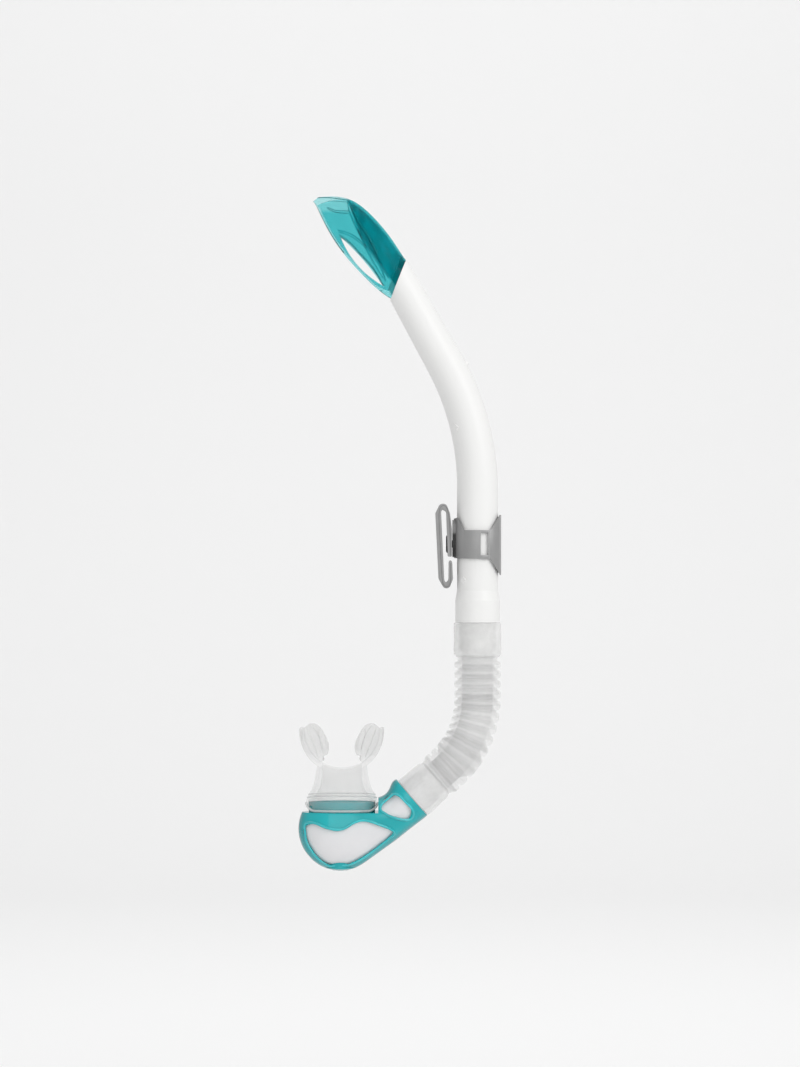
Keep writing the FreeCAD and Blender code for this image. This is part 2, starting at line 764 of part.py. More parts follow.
def chamber_solid(wall):
    """The chamber shrunk by a wall all round."""
    wires = []
    for along in NECK_STATIONS:
        wires.append(chamber_oval(along, -inlet, inlet, inlet, wall))
    for along, low, high, depth in SHOULDER:
        wires.append(chamber_oval(along, low, high, depth, wall))
    for degrees in BOWL_TURNS:
        turn = math.radians(degrees)
        along = BOWL_ALONG + (bowl - wall) * math.sin(turn)
        half = (bowl - wall) * math.cos(turn)
        deep = (bowl_depth - wall) * math.cos(turn)
        low, high = BOWL_SIDE - half, BOWL_SIDE + half
        wires.append(chamber_oval(along, low, high, deep, 0.0))
    return loft(wires)


mouth_x = junction.x - 42.6
deck = junction.z - 8.2


def above_deck(wall):
    """What is cut off over the bowl, up to a wall from the inlet's upper side."""
    corner = Vector(mouth_x - 60, -60, deck - wall)
    return Part.makeBox(60 + DECK_REACH + wall, 120, 120, corner)


def port_prism(a, b, low, high):
    wire = oval(Vector(mouth_x, 0, low), Vector(1, 0, 0), Y_AXIS, a, b)
    return Part.Face(wire).extrude(Vector(0, 0, high - low))


frame_wall = mm("frame_wall")
shell_wall = mm("shell_wall")
port_a = mm("port_width")
port_b = mm("port_depth")
bowl_centre = junction + chamber_way * BOWL_ALONG + chamber_side * BOWL_SIDE
bowl_floor = bowl_centre.z - bowl
purge_hole = mm("purge_radius")


def purge_bore(radius):
    base_point = Vector(bowl_centre.x, 0, bowl_floor - 5)
    return Part.makeCylinder(radius, 20, base_point)


def inlet_bore(radius):
    return Part.makeCylinder(radius, 30, junction - chamber_way * 20, chamber_way)


def outline_prism(points):
    """Smooth closed XZ outline round the bowl's middle, extruded through along Y."""
    curve = Part.BSplineCurve()
    corners = [bowl_centre + Vector(x, -60, z) for x, z in points]
    curve.interpolate(Points=corners, PeriodicFlag=True)
    face = Part.Face(Part.Wire([curve.toShape()]))
    return face.extrude(Vector(0, 120, 0))


BEAN = (
    (-20.6, 2.2), (-15.6, 3.6), (-7.0, 0.6), (1.5, 0.2), (9.0, 4.2), (15.0, 5.2),
    (23.5, 2.6), (31.5, -1.4), (28.0, -5.4), (18.0, -13.2), (8.5, -19.0),
    (-2.0, -22.0), (-11.5, -18.0), (-19.0, -8.0),
)
TRIANGLE = ((24.6, 13.2), (33.0, 20.6), (42.4, 12.2), (41.0, 6.8), (31.0, 8.6))
bean = outline_prism(BEAN)
triangle = outline_prism(TRIANGLE)

port_foot = deck - 2.4
past_inlet = half_space(junction, chamber_way)
frame = chamber_solid(0.0).common(past_inlet).cut(above_deck(0.0))
frame = frame.fuse(port_prism(port_a, port_b, port_foot, deck + 6.2))
hollow_out = chamber_solid(frame_wall).cut(above_deck(DECK_WALL))
frame = frame.cut(hollow_out).cut(port_prism(port_a - 1.5, port_b - 1.5, port_foot - 9, deck + 9))
frame = frame.cut(purge_bore(purge_hole + 0.1))
frame = frame.cut([bean, triangle])
free_form("chamber_frame", frame)

shell = chamber_solid(frame_wall + FIT).common(past_inlet).cut(above_deck(DECK_WALL + FIT))
cavity = chamber_solid(frame_wall + FIT + shell_wall)
cavity = cavity.cut(above_deck(DECK_WALL + FIT + shell_wall))
front_plug = half_space(junction + chamber_way * shell_wall, chamber_way)
cavity = cavity.common(front_plug)
spigot = Part.makeCylinder(
    mm("swivel_radius"),
    mm("swivel_length") + shell_wall,
    junction - chamber_way * mm("swivel_length"),
    chamber_way,
)
shell = shell.cut(cavity).fuse(spigot).cut(inlet_bore(mm("swivel_bore")))
shell = shell.cut(port_prism(port_a - 1.5, port_b - 1.5, port_foot - 9, deck + 9))
shell = shell.cut(purge_bore(purge_hole))
free_form("chamber_shell", shell)

# ---------------------------------------------------------------- purge valve

purge_place = Placement(Vector(bowl_centre.x, 0, bowl_floor), Rotation())
SEAT_TOP = 9.6
SEAT_WALL = 1.3
WEB = 1.4
COVER_TOP = 3.0
VALVE_GAP = 0.4
seat_bore = cell("purge_radius") - SEAT_WALL
valve_rim = seat_bore - VALVE_GAP
seat = turned(
    "purge_seat",
    [
        (Size(2.0), Size(SEAT_TOP - WEB)),
        (seat_bore, Size(SEAT_TOP - WEB)),
        (seat_bore, Size(COVER_TOP)),
        (cell("purge_radius"), Size(COVER_TOP)),
        (cell("purge_radius"), Size(SEAT_TOP)),
        (Size(2.0), Size(SEAT_TOP)),
    ],
)


def ring_of_holes(body, name, radius, reach, count, low):
    """Round holes along Z, one bound to the sheet and the rest by a polar pattern."""
    sketch = new_sketch(body, "XY_Plane", name)
    add_circle(sketch, reach, 0, radius)
    hole = pocket(body, sketch, low, f"{name}_cut", reverse=True)
    pattern = body.newObject("PartDesign::PolarPattern", f"{body.Name}_{name}_ring")
    pattern.Originals = [hole]
    pattern.Axis = (sketch, ["N_Axis"])
    pattern.Angle = 360
    pattern.Occurrences = count
    body.Tip = pattern


ring_of_holes(seat, "port", Size(1.3), valve_rim * 0.62, 6, Size(20))
seat.Placement = purge_place

disc_top = SEAT_TOP - WEB - 0.05
disc = turned(
    "purge_valve_disc",
    [
        (Size(0), Size(disc_top - 0.9)),
        (Size(3.0), Size(disc_top - 0.9)),
        (valve_rim, Size(disc_top - 0.5)),
        (valve_rim, Size(disc_top)),
        (Size(1.9), Size(disc_top)),
        (Size(1.9), Size(disc_top + WEB + 0.8)),
        (Size(0), Size(disc_top + WEB + 0.8)),
    ],
)
disc.Placement = purge_place

cover = turned(
    "purge_cover",
    [
        (Size(0), Size(0.4)),
        (Size(4.6), Size(0.4)),
        (cell("purge_radius"), Size(1.7)),
        (cell("purge_radius"), Size(COVER_TOP)),
        (Size(0), Size(COVER_TOP)),
    ],
)
ring_of_holes(cover, "vent", Size(1.3), Size(5.0), 8, Size(20))
cover.Placement = purge_place

# ---------------------------------------------------------------- mouthpiece

# Heights above the deck, with half width and half depth of the soft neck.
COLLAR_A = port_a + 1.7
COLLAR_B = port_b + 1.7
NECK = (
    (0.05, COLLAR_A, COLLAR_B),
    (5.2, COLLAR_A, COLLAR_B),
    (8.8, COLLAR_A - 0.9, COLLAR_B - 0.7),
    (13.2, 18.4, 11.2),
    (19.0, 16.5, 10.2),
    (25.0, 15.4, 9.6),
    (33.2, 15.2, 9.4),
)
NECK_BORE = (
    (-0.5, port_a, port_b),
    (6.4, port_a, port_b),
    (9.6, 16.6, 8.6),
    (14.0, 13.6, 7.2),
    (20.0, 12.2, 6.4),
    (34.0, 11.6, 6.0),
)
BITE_CENTRE = 48.8
FLANGE_WALL = 2.4
FLANGE_HALF_DEPTH = 13.0
FOOT_ROUND = 6.0


def arch(radius):
    """Round bar along Y about the middle of the dental arch."""
    depth = FLANGE_HALF_DEPTH
    return Part.makeCylinder(radius, 2 * depth, Vector(mouth_x, -depth, deck + BITE_CENTRE), Y_AXIS)


def neck_loft(stations):
    wires = []
    for height, a, b in stations:
        centre = Vector(mouth_x, 0, deck + height)
        wires.append(oval(centre, Vector(1, 0, 0), Y_AXIS, a, b))
    return loft(wires)


def flange():
    """A band bent round the dental arch, with rounded corners."""
    radius = mm("bite_width")
    depth = FLANGE_HALF_DEPTH
    band = arch(radius).cut(arch(radius - FLANGE_WALL))
    top = Vector(mouth_x - 40, -40, deck + BITE_CENTRE + 1.6)
    band = band.cut(Part.makeBox(80, 80, 60, top))
    corner = Vector(mouth_x - radius - 1, -depth, deck)
    block = Part.makeBox(2 * radius + 2, 2 * depth, 80, corner)
    upright = [e for e in block.Edges if abs(e.tangentAt(e.FirstParameter).z) > 0.99]
    return band.common(block.makeFillet(9.0, upright))


def bite_tab(side):
    """A flat tab between the teeth, with a raised lug along its inner edge."""
    inner = ((19.4, 52.9), (13.6, 51.4), (10.4, 46.6), (8.0, 41.4), (7.9, 37.0), (11.0, 30.6))
    half = mm("bite_thickness") / 2
    z0 = deck
    points = [Vector(mouth_x + side * x, -half, z0 + z) for x, z in inner]
    curve = Part.BSplineCurve()
    curve.interpolate(Points=points)
    low = Vector(mouth_x + side * 14.6, -half, z0 + 28.8)
    wide = Vector(mouth_x + side * 23.2, -half, z0 + 41.0)
    high = Vector(mouth_x + side * 23.4, -half, z0 + 49.6)
    edges = [curve.toShape()]
    for a, b in ((points[-1], low), (low, wide), (wide, high), (high, points[0])):
        edges.append(Part.LineSegment(a, b).toShape())
    tab = Part.Face(Part.Wire(edges)).extrude(Vector(0, 2 * half, 0))
    lug = Part.makeBox(3.2, 4 * half, 12.5, Vector(-1.6, -2 * half, -6.2))
    lug = lug.makeFillet(1.4, lug.Edges)
    lug.rotate(Vector(0, 0, 0), Y_AXIS, side * 14)
    lug.translate(Vector(mouth_x + side * 11.6, 0, z0 + 43.2))
    return tab.fuse(lug)


def soft_neck():
    """The neck up to the arch, with the ends of its foot rounded up."""
    reach = COLLAR_A + 0.2
    corner = Vector(mouth_x - reach, -2 * reach, deck + NECK[0][0])
    block = Part.makeBox(2 * reach, 4 * reach, BITE_CENTRE, corner)
    ends = []
    for edge in block.Edges:
        if abs(edge.tangentAt(edge.FirstParameter).y) > 0.99 and edge.BoundBox.ZMax < deck + 1:
            ends.append(edge)
    neck = neck_loft(NECK).common(block.makeFillet(FOOT_ROUND, ends))
    return neck.cut(arch(mm("bite_width") - FLANGE_WALL))


mouthpiece = soft_neck().fuse([flange(), bite_tab(-1), bite_tab(1)])
mouthpiece = mouthpiece.cut(neck_loft(NECK_BORE))
free_form("mouthpiece", mouthpiece)

# ---------------------------------------------------------------- check and write

doc.recompute()
for item in doc.Objects:
    if "Invalid" in item.State or "Error" in item.State:
        raise RuntimeError(f"{item.Label} failed: {item.State}")
for piece in pieces:
    if piece.Shape.isNull() or not piece.Shape.isValid():
        raise RuntimeError(f"{piece.Label} has no valid shape")

os.makedirs("parts", exist_ok=True)
for piece in pieces:
    solids = len(piece.Shape.Solids)
    box = piece.Shape.BoundBox
    print(
        f"{piece.Label:18s} solids {solids} volume {piece.Shape.Volume:9.1f} "
        f"x {box.XMin:7.2f} {box.XMax:7.2f} y {box.YMin:6.2f} {box.YMax:6.2f} "
        f"z {box.ZMin:7.2f} {box.ZMax:7.2f}"
    )
    piece.Shape.exportStep(os.path.join("parts", f"{piece.Label}.step"))
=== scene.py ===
"""Diver's snorkel tube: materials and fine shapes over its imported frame. Metres, +Z up."""

import json
import math

import bmesh
import bpy
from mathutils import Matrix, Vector
from mathutils.bvhtree import BVHTree


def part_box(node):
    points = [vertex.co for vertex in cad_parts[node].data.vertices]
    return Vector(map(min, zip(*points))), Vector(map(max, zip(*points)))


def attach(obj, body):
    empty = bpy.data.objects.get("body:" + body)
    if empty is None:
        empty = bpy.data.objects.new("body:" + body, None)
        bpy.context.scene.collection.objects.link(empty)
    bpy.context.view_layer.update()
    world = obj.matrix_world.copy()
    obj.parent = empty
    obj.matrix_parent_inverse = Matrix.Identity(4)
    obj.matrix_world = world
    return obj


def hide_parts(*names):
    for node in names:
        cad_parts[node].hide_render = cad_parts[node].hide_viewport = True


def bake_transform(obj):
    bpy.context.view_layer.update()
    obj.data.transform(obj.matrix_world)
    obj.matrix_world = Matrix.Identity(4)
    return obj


bl_info = {
    "name": "Snorkel Tube",
    "version": (1, 0, 0),
    "blender": (4, 5, 0),
    "location": "View3D > Sidebar > Snorkel",
    "description": "Dresses a snorkel tube with its hose, mouthpiece, keeper and finishes",
    "category": "Object",
}

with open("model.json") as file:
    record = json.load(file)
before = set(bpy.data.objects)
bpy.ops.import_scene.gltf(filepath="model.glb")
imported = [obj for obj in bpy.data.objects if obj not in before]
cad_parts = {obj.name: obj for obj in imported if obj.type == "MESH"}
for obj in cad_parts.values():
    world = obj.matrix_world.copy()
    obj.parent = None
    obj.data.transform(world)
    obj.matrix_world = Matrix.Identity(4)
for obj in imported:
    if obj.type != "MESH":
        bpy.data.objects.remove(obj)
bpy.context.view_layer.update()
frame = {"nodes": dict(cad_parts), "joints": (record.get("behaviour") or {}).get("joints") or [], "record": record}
MM = 0.001

# Distances for mesh work, in metres: how near two corners are merged, how far from the
# middle plane a ray starts, and how near a sleeve's end an edge counts as its rim.
MERGE_REACH = 2e-6
RAY_START = 0.06
SLEEVE_END_REACH = 0.0165
# Angles between faces: merged as flat, eased as a bend, rounded as an edge, and kept
# sharp in shading.
FLAT_DEGREES = 0.6
BEND_DEGREES = 15.0
EDGE_DEGREES = 32.0
CREASE_DEGREES = 40.0
SLEEVE_DEGREES = 50.0
# Steps round a bar's quarter, along and round a sleeve, and round a ridge.
BAR_ROUNDNESS = 2
SLEEVE_STEPS, SLEEVE_SIDES = 29, 72
RING_STEPS = 96

# Hose: how far its two end stretches run into the cuffs, as a share of half a rib.
INTO_CUFF = 0.62
ARC_STEPS = 12

# Chamber: mm from the purge valve up to the bowl's centre, and mm that a window's
# bead stands outside the window's outline.
BOWL_RISE = 17.2
BEAD_OUTSET = 0.7


# ------------------------------------------------------------------ shader maths


class Socket:
    """A node's output that Python can add, subtract, multiply and limit."""

    def __init__(self, nodes, output):
        self.nodes = nodes
        self.output = output

    def _sum(self, operation, first, second):
        return self.nodes.make("ShaderNodeMath", {"operation": operation}, {0: first, 1: second})

    def __add__(self, other):
        return self._sum("ADD", self, other)

    def __radd__(self, other):
        return self._sum("ADD", other, self)

    def __sub__(self, other):
        return self._sum("SUBTRACT", self, other)

    def __rsub__(self, other):
        return self._sum("SUBTRACT", other, self)

    def __mul__(self, other):
        return self._sum("MULTIPLY", self, other)

    def __rmul__(self, other):
        return self._sum("MULTIPLY", other, self)

    def size(self):
        return self._sum("ABSOLUTE", self, 0.0)

    def at_least(self, other):
        return self._sum("MAXIMUM", self, other)

    def at_most(self, other):
        return self._sum("MINIMUM", self, other)

    def limited(self, low, high):
        settings = {"clamp": True}
        values = {"Value": self, "From Min": low, "From Max": high}
        return self.nodes.make("ShaderNodeMapRange", settings, values)


class Finish:
    """One material and the nodes made for it."""

    def __init__(self, name, **fixed):
        self.material = bpy.data.materials.new(name)
        self.material.use_nodes = True
        self.tree = self.material.node_tree
        self.shader = self.tree.nodes["Principled BSDF"]
        for socket, value in fixed.items():
            self.shader.inputs[socket.replace("_", " ")].default_value = value

    def make(self, kind, settings=None, values=None, output=0):
        """Adds a node: its settings first, then the values or links of its sockets."""
        node = self.tree.nodes.new(kind)
        for key, value in (settings or {}).items():
            setattr(node, key, value)
        for key, value in (values or {}).items():
            if isinstance(value, Socket):
                self.tree.links.new(value.output, node.inputs[key])
            else:
                node.inputs[key].default_value = value
        return Socket(self, node.outputs[output])

    def place(self, scale=(1, 1, 1)):
        point = self.make("ShaderNodeTexCoord", output="Object")
        return self.make("ShaderNodeMapping", None, {"Vector": point, "Scale": scale})

    def axis(self, name):
        """One of the piece's own coordinates, in millimetres."""
        point = self.make("ShaderNodeTexCoord", output="Object")
        split = self.make("ShaderNodeSeparateXYZ", None, {"Vector": point}, output=name)
        return split * (1.0 / MM)

    def noise(self, scale, detail=3.0, rough=0.5, stretch=(1, 1, 1)):
        values = {"Scale": scale, "Detail": detail, "Roughness": rough}
        return self.make("ShaderNodeTexNoise", None, {"Vector": self.place(stretch), **values})

    def blend(self, share, first, second):
        """Mixes two colours by a share."""
        settings = {"data_type": "RGBA"}
        values = {"Factor": share, 6: first, 7: second}
        return self.make("ShaderNodeMix", settings, values, output=2)

    def bump(self, height, strength, distance):
        values = {"Height": height, "Strength": strength, "Distance": distance}
        return self.make("ShaderNodeBump", None, values)

    def feed(self, **sockets):
        for name, value in sockets.items():
            self.tree.links.new(value.output, self.shader.inputs[name.replace("_", " ")])
        return self.material


def colour(value):
    return shade(value, 1.0)


def shade(value, factor):
    return (value[0] * factor, value[1] * factor, value[2] * factor, 1.0)


def tube_finish(looks):
    """Gloss white moulding with faint flow marks and handling scuffs."""
    finish = Finish("tube_white", IOR=1.45, Coat_Roughness=0.25)
    cloud = finish.noise(38.0, 4.0, 0.55, (1, 1, 0.3))
    scuff = finish.noise(620.0, 5.0, 0.7, (1, 1, 0.08)).limited(0.62, 0.78)
    base = finish.blend(cloud, shade(looks.tube_colour, 0.975), colour(looks.tube_colour))
    ripple = finish.noise(900.0, 2.0)
    return finish.feed(
        Base_Color=finish.blend(scuff * 0.12, base, shade(looks.tube_colour, 0.8)),
        Roughness=0.42 + cloud * 0.08 + scuff * 0.18,
        Coat_Weight=0.14 - scuff * 0.1,
        Normal=finish.bump(ripple + scuff * 0.6, 0.06, 0.0002),
    )


def clear_teal_finish(looks):
    """Clear tinted moulding, deeper behind the crease where the wall is doubled, with painted highlight lightening
    it above its upper facet line.
    """
    finish = Finish("guard_clear_teal", IOR=1.13, Transmission_Weight=0.97)
    corner = guard_corner()
    bend_x, bend_z = corner.x + GUARD_CREASE[3][0], corner.z + GUARD_CREASE[3][1]
    lean_above, lean_below = 0.37, 0.7
    rise = finish.axis("Z") - bend_z
    crease = bend_x - rise.at_least(0.0) * lean_above - rise.at_most(0.0) * lean_below
    wave = finish.noise(120.0, 2.0) * 1.6 - 0.8
    behind = (finish.axis("X") - crease + wave).limited(-0.5, 0.7)
    cloud = finish.noise(55.0, 3.0)
    streak = finish.noise(150.0, 4.0, 0.65, (1, 1, 0.28)).limited(0.38, 0.62)
    flow = finish.noise(420.0, 3.0, 0.6, (1, 1, 0.25))
    scuff = finish.noise(700.0, 5.0, 0.72).limited(0.6, 0.8)
    light, deep = colour(looks.teal_clear), colour(looks.teal_deep)
    # Painted highlight: above the facet line the tint is mixed halfway to a pale teal, for the top light that the
    # upper facet catches.
    pale = (0.62, 0.92, 0.93, 1.0)
    facet = GUARD_FACET[1][1]
    top_light_mask = (finish.axis("Z") - corner.z).limited(facet - 1.0, facet + 1.0)
    front = finish.blend(cloud.limited(0.3, 0.7), shade(light, 0.94), light)
    front = finish.blend(top_light_mask * 0.5, front, pale)
    rear = finish.blend(streak, shade(deep, 0.78), shade(deep, 1.12))
    return finish.feed(
        Base_Color=finish.blend(behind, front, rear),
        Roughness=0.035 + flow * 0.04 + scuff * 0.1,
        Normal=finish.bump(flow, 0.08, 0.0003),
    )


def edge_teal_finish(looks):
    """Deep teal of the guard's thick edges and creases, seen end on."""
    finish = Finish("guard_edge_teal", IOR=1.36, Transmission_Weight=0.55)
    cloud = finish.noise(160.0, 3.0)
    deep = colour(looks.teal_deep)
    return finish.feed(
        Base_Color=finish.blend(cloud, shade(deep, 0.45), shade(deep, 0.8)),
        Roughness=0.08 + cloud * 0.08,
    )


def gloss_teal_finish(looks):
    """Deep teal moulding under a glossy skin, a little uneven in depth, with painted shade darkening it towards
    its outline.
    """
    finish = Finish("chamber_teal", IOR=1.42, Coat_Roughness=0.04)
    cloud = finish.noise(70.0, 3.0).limited(0.3, 0.7)
    flow = finish.noise(380.0, 3.0, 0.6, (1, 1, 0.4))
    scuff = finish.noise(650.0, 5.0, 0.7).limited(0.62, 0.8)
    tint = colour(looks.teal_solid)
    # Painted shade: near the middle plane, towards the outline seen from the front, the teal falls to half its
    # tint.
    face = finish.axis("Y").size().limited(1.5, 9.5)
    flat = finish.blend(cloud, shade(tint, 0.9), shade(tint, 1.1))
    return finish.feed(
        Base_Color=finish.blend(face, shade(tint, 0.5), flat),
        Roughness=0.16 + flow * 0.06 + scuff * 0.16,
        Coat_Weight=0.3 - scuff * 0.2,
        Normal=finish.bump(flow, 0.1, 0.0003),
    )


def bead_teal_finish(looks):
    """Polished teal of the beads round the chamber's windows, painted lighter than the frame's teal, up to 1.3
    times, as a highlight along them.
    """
    finish = Finish("bead_teal", IOR=1.5, Coat_Roughness=0.02)
    cloud = finish.noise(110.0, 3.0).limited(0.3, 0.7)
    tint = colour(looks.teal_solid)
    return finish.feed(
        # Painted highlight: the beads' teal is raised to between 1.0 and 1.3 times the frame's.
        Base_Color=finish.blend(cloud, shade(tint, 1.0), shade(tint, 1.3)),
        Roughness=0.08 + cloud * 0.06,
        Coat_Weight=0.8 + cloud * 0.2,
    )


def milky_finish(looks):
    """Milky translucent moulding of the chamber's inner shell and panels."""
    finish = Finish(
        "chamber_milky", IOR=1.46, Subsurface_Weight=0.5, Subsurface_Scale=0.004,
        Subsurface_Radius=(1.0, 0.95, 0.95),
    )
    cloud = finish.noise(60.0, 3.0).limited(0.25, 0.75)
    grain = finish.noise(1500.0, 2.0)
    tint = colour(looks.milky_colour)
    return finish.feed(
        Base_Color=finish.blend(cloud, shade(tint, 0.94), tint),
        Roughness=0.3 + cloud * 0.08,
        Normal=finish.bump(grain, 0.05, 0.0002),
    )


def silicone_finish(looks):
    """Soft clear silicone that shows what is behind it, milkier in its wings."""
    finish = Finish("soft_silicone", IOR=1.4, Transmission_Weight=0.35)
    cloud = finish.noise(90.0, 4.0, 0.6).limited(0.25, 0.75)
    dust = finish.noise(1800.0, 3.0, 0.6)
    tint = colour(looks.silicone_colour)
    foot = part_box("mouthpiece")[0].z / MM
    wings = (finish.axis("Z") - foot).limited(28.0, 36.0)
    return finish.feed(
        Base_Color=finish.blend(cloud, shade(tint, 0.9), tint),
        Roughness=0.1 + cloud * 0.1 + dust * 0.05,
        Alpha=1.0 - looks.silicone_clear + cloud * 0.06 + wings * 0.2,
        Normal=finish.bump(cloud * 0.5 + dust * 0.5, 0.12, 0.0003),
    )


def mouth_bead_finish(looks):
    """Thick rims of the mouthpiece, which catch more light than its walls."""
    finish = Finish("mouth_bead", IOR=1.42)
    cloud = finish.noise(140.0, 3.0).limited(0.3, 0.7)
    tint = colour(looks.silicone_colour)
    return finish.feed(
        Base_Color=finish.blend(cloud, shade(tint, 1.1), shade(tint, 1.25)),
        Roughness=0.08 + cloud * 0.08,
        Alpha=0.42 + cloud * 0.1,
    )


def hazy_silicone_finish(looks):
    """The hose's silicone: the same moulding, hazier from its ribs."""
    finish = Finish("hose_silicone", IOR=1.42, Coat_Roughness=0.05)
    cloud = finish.noise(70.0, 4.0, 0.6).limited(0.25, 0.75)
    dust = finish.noise(1500.0, 3.0, 0.6)
    tint = colour(looks.silicone_colour)
    return finish.feed(
        Base_Color=finish.blend(cloud, shade(tint, 1.18), shade(tint, 1.3)),
        Roughness=0.12 + cloud * 0.08 + dust * 0.05,
        Coat_Weight=0.55 + cloud * 0.2,
        Alpha=1.0 - looks.hose_clear + cloud * 0.06,
        Normal=finish.bump(cloud * 0.5 + dust * 0.5, 0.12, 0.0003),
    )


def cuff_silicone_finish(looks):
    """The hose's plain cuffs: thicker, so milkier than the ribs."""
    finish = Finish("cuff_silicone", IOR=1.42, Coat_Roughness=0.12)
    cloud = finish.noise(80.0, 4.0, 0.6).limited(0.25, 0.75)
    dust = finish.noise(1500.0, 3.0, 0.6)
    tint = colour(looks.silicone_colour)
    return finish.feed(
        Base_Color=finish.blend(cloud, shade(tint, 1.16), shade(tint, 1.24)),
        Roughness=0.24 + cloud * 0.1 + dust * 0.06,
        Coat_Weight=0.25 + cloud * 0.15,
        Alpha=0.36 + cloud * 0.14,
        Normal=finish.bump(cloud * 0.5 + dust * 0.5, 0.12, 0.0003),
    )


def grey_finish(looks):
    """Silver-grey keeper moulding with a satin grain, lighter and glossier along its sharp edges."""
    finish = Finish("keeper_grey", IOR=1.5, Coat_Roughness=0.3)
    cloud = finish.noise(120.0, 3.0).limited(0.3, 0.7)
    grain = finish.noise(2600.0, 3.0, 0.6)
    edge = finish.make("ShaderNodeNewGeometry", output="Pointiness").limited(0.52, 0.62)
    tint = colour(looks.grey_colour)
    worn = finish.blend(cloud, shade(tint, 0.86), tint)
    return finish.feed(
        Base_Color=finish.blend(edge * 0.4, worn, shade(tint, 1.7)),
        Roughness=0.34 + grain * 0.16,
        Metallic=0.25 + cloud * 0.1,
        Coat_Weight=0.2 + edge * 0.2,
        Normal=finish.bump(grain, 0.12, 0.0002),
    )


def channel_shade_finish(looks):
    """Painted shade of the channel that runs along the middle of the clip's bar, in a darker grey."""
    finish = Finish("painted_channel_shade", IOR=1.5)
    cloud = finish.noise(260.0, 3.0).limited(0.3, 0.7)
    tint = colour(looks.grey_colour)
    return finish.feed(
        Base_Color=finish.blend(cloud, shade(tint, 0.6), shade(tint, 0.82)),
        Roughness=0.5 + cloud * 0.15,
    )


def black_finish(looks):
    """Black swivel moulding with a fine matte grain, its upper tab grey."""
    finish = Finish("swivel_black", IOR=1.5)
    cloud = finish.noise(200.0, 3.0).limited(0.3, 0.7)
    grain = finish.noise(2400.0, 3.0, 0.6)
    tint, grey = colour(looks.black_colour), colour(looks.grey_colour)
    black = finish.blend(cloud, shade(tint, 0.7), shade(tint, 1.5))
    upper_grey = finish.blend(cloud, shade(grey, 0.7), shade(grey, 0.9))
    upper = finish.axis("Z").limited(6.8, 8.4)
    return finish.feed(
        Base_Color=finish.blend(upper, black, upper_grey),
        Roughness=0.36 + grain * 0.2,
        Normal=finish.bump(grain, 0.15, 0.0002),
    )


def backdrop_finish(looks):
    """Pale paper sweep."""
    finish = Finish("studio_paper", Specular_IOR_Level=0.1)
    cloud = finish.noise(1.6, 2.0)
    tint = colour(looks.paper_colour)
    return finish.feed(
        Base_Color=finish.blend(cloud, shade(tint, 0.995), tint),
        Roughness=0.85 + cloud * 0.1,
    )


FINISHES = {
    "tube_white": tube_finish,
    "guard_clear_teal": clear_teal_finish,
    "chamber_teal": gloss_teal_finish,
    "bead_teal": bead_teal_finish,
    "chamber_milky": milky_finish,
    "soft_silicone": silicone_finish,
    "mouth_bead": mouth_bead_finish,
    "hose_silicone": hazy_silicone_finish,
    "cuff_silicone": cuff_silicone_finish,
    "guard_edge_teal": edge_teal_finish,
    "keeper_grey": grey_finish,
    "painted_channel_shade": channel_shade_finish,
    "swivel_black": black_finish,
    "studio_paper": backdrop_finish,
}


def finish_of(name):
    """The named finish, made the first time that it is asked for."""
    held = bpy.data.materials.get(name)
    if held is None:
        held = FINISHES[name](bpy.context.scene.snorkel_looks)
    return held


# ------------------------------------------------------------------ mesh helpers


def link_object(name, data):
    piece = bpy.data.objects.new(name, data)
    bpy.context.scene.collection.objects.link(piece)
    return piece


def coat(mesh, finish):
    """Makes the finish the mesh's only one."""
    mesh.materials.clear()
    mesh.materials.append(finish_of(finish))


def add_object(name, mesh, finish):
    piece = link_object(name, mesh)
    coat(mesh, finish)
    return piece


def smooth(mesh, sharp_degrees=180.0):
    mesh.polygons.foreach_set("use_smooth", [True] * len(mesh.polygons))
    if sharp_degrees < 180.0:
        mesh.set_sharp_from_angle(angle=math.radians(sharp_degrees))


def applied(piece):
    """The piece as its modifiers leave it, on a plain mesh and without them."""
    bpy.context.view_layer.update()
    held = piece.evaluated_get(bpy.context.evaluated_depsgraph_get())
    mesh = bpy.data.meshes.new_from_object(held)
    if piece.type == "CURVE":
        name = piece.name
        bpy.data.objects.remove(piece)
        return link_object(name, mesh)
    piece.modifiers.clear()
    piece.data = mesh
    return piece


def merged_copy(node, name, finish):
    """A copy of a CAD node with its loose triangles joined, to be worked on."""
    mesh = frame["nodes"][node].data.copy()
    work = bmesh.new()
    work.from_mesh(mesh)
    bmesh.ops.remove_doubles(work, verts=work.verts, dist=MERGE_REACH)
    flat = math.radians(FLAT_DEGREES)
    bmesh.ops.dissolve_limit(work, angle_limit=flat, verts=work.verts, edges=work.edges)
    work.to_mesh(mesh)
    work.free()
    if "custom_normal" in mesh.attributes:
        mesh.attributes.remove(mesh.attributes["custom_normal"])
    return add_object(name, mesh, finish)


def body_of_node(node):
    for body, nodes in frame["record"]["behaviour"]["bodies"].items():
        if node in nodes:
            return body
    raise ValueError(node)


def ease_bends(piece, reach):
    """Rounds the corners of a bent bar whose edges run across it, along Y."""
    work = bmesh.new()
    work.from_mesh(piece.data)
    least_length, least_turn = 6.0 * MM, math.radians(BEND_DEGREES)
    bends = []
    for edge in work.edges:
        along = edge.verts[1].co - edge.verts[0].co
        if abs(along.y) > least_length and edge.calc_face_angle(0.0) > least_turn:
            bends.append(edge)
    bmesh.ops.bevel(
        work, geom=bends, offset=reach, segments=4, profile=0.5, affect="EDGES",
        clamp_overlap=True,
    )
    work.to_mesh(piece.data)
    work.free()


def stand_in(piece, node):
    """Shows the piece instead of a CAD node, on that node's body."""
    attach(piece, body_of_node(node))
    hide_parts(node)
    return piece


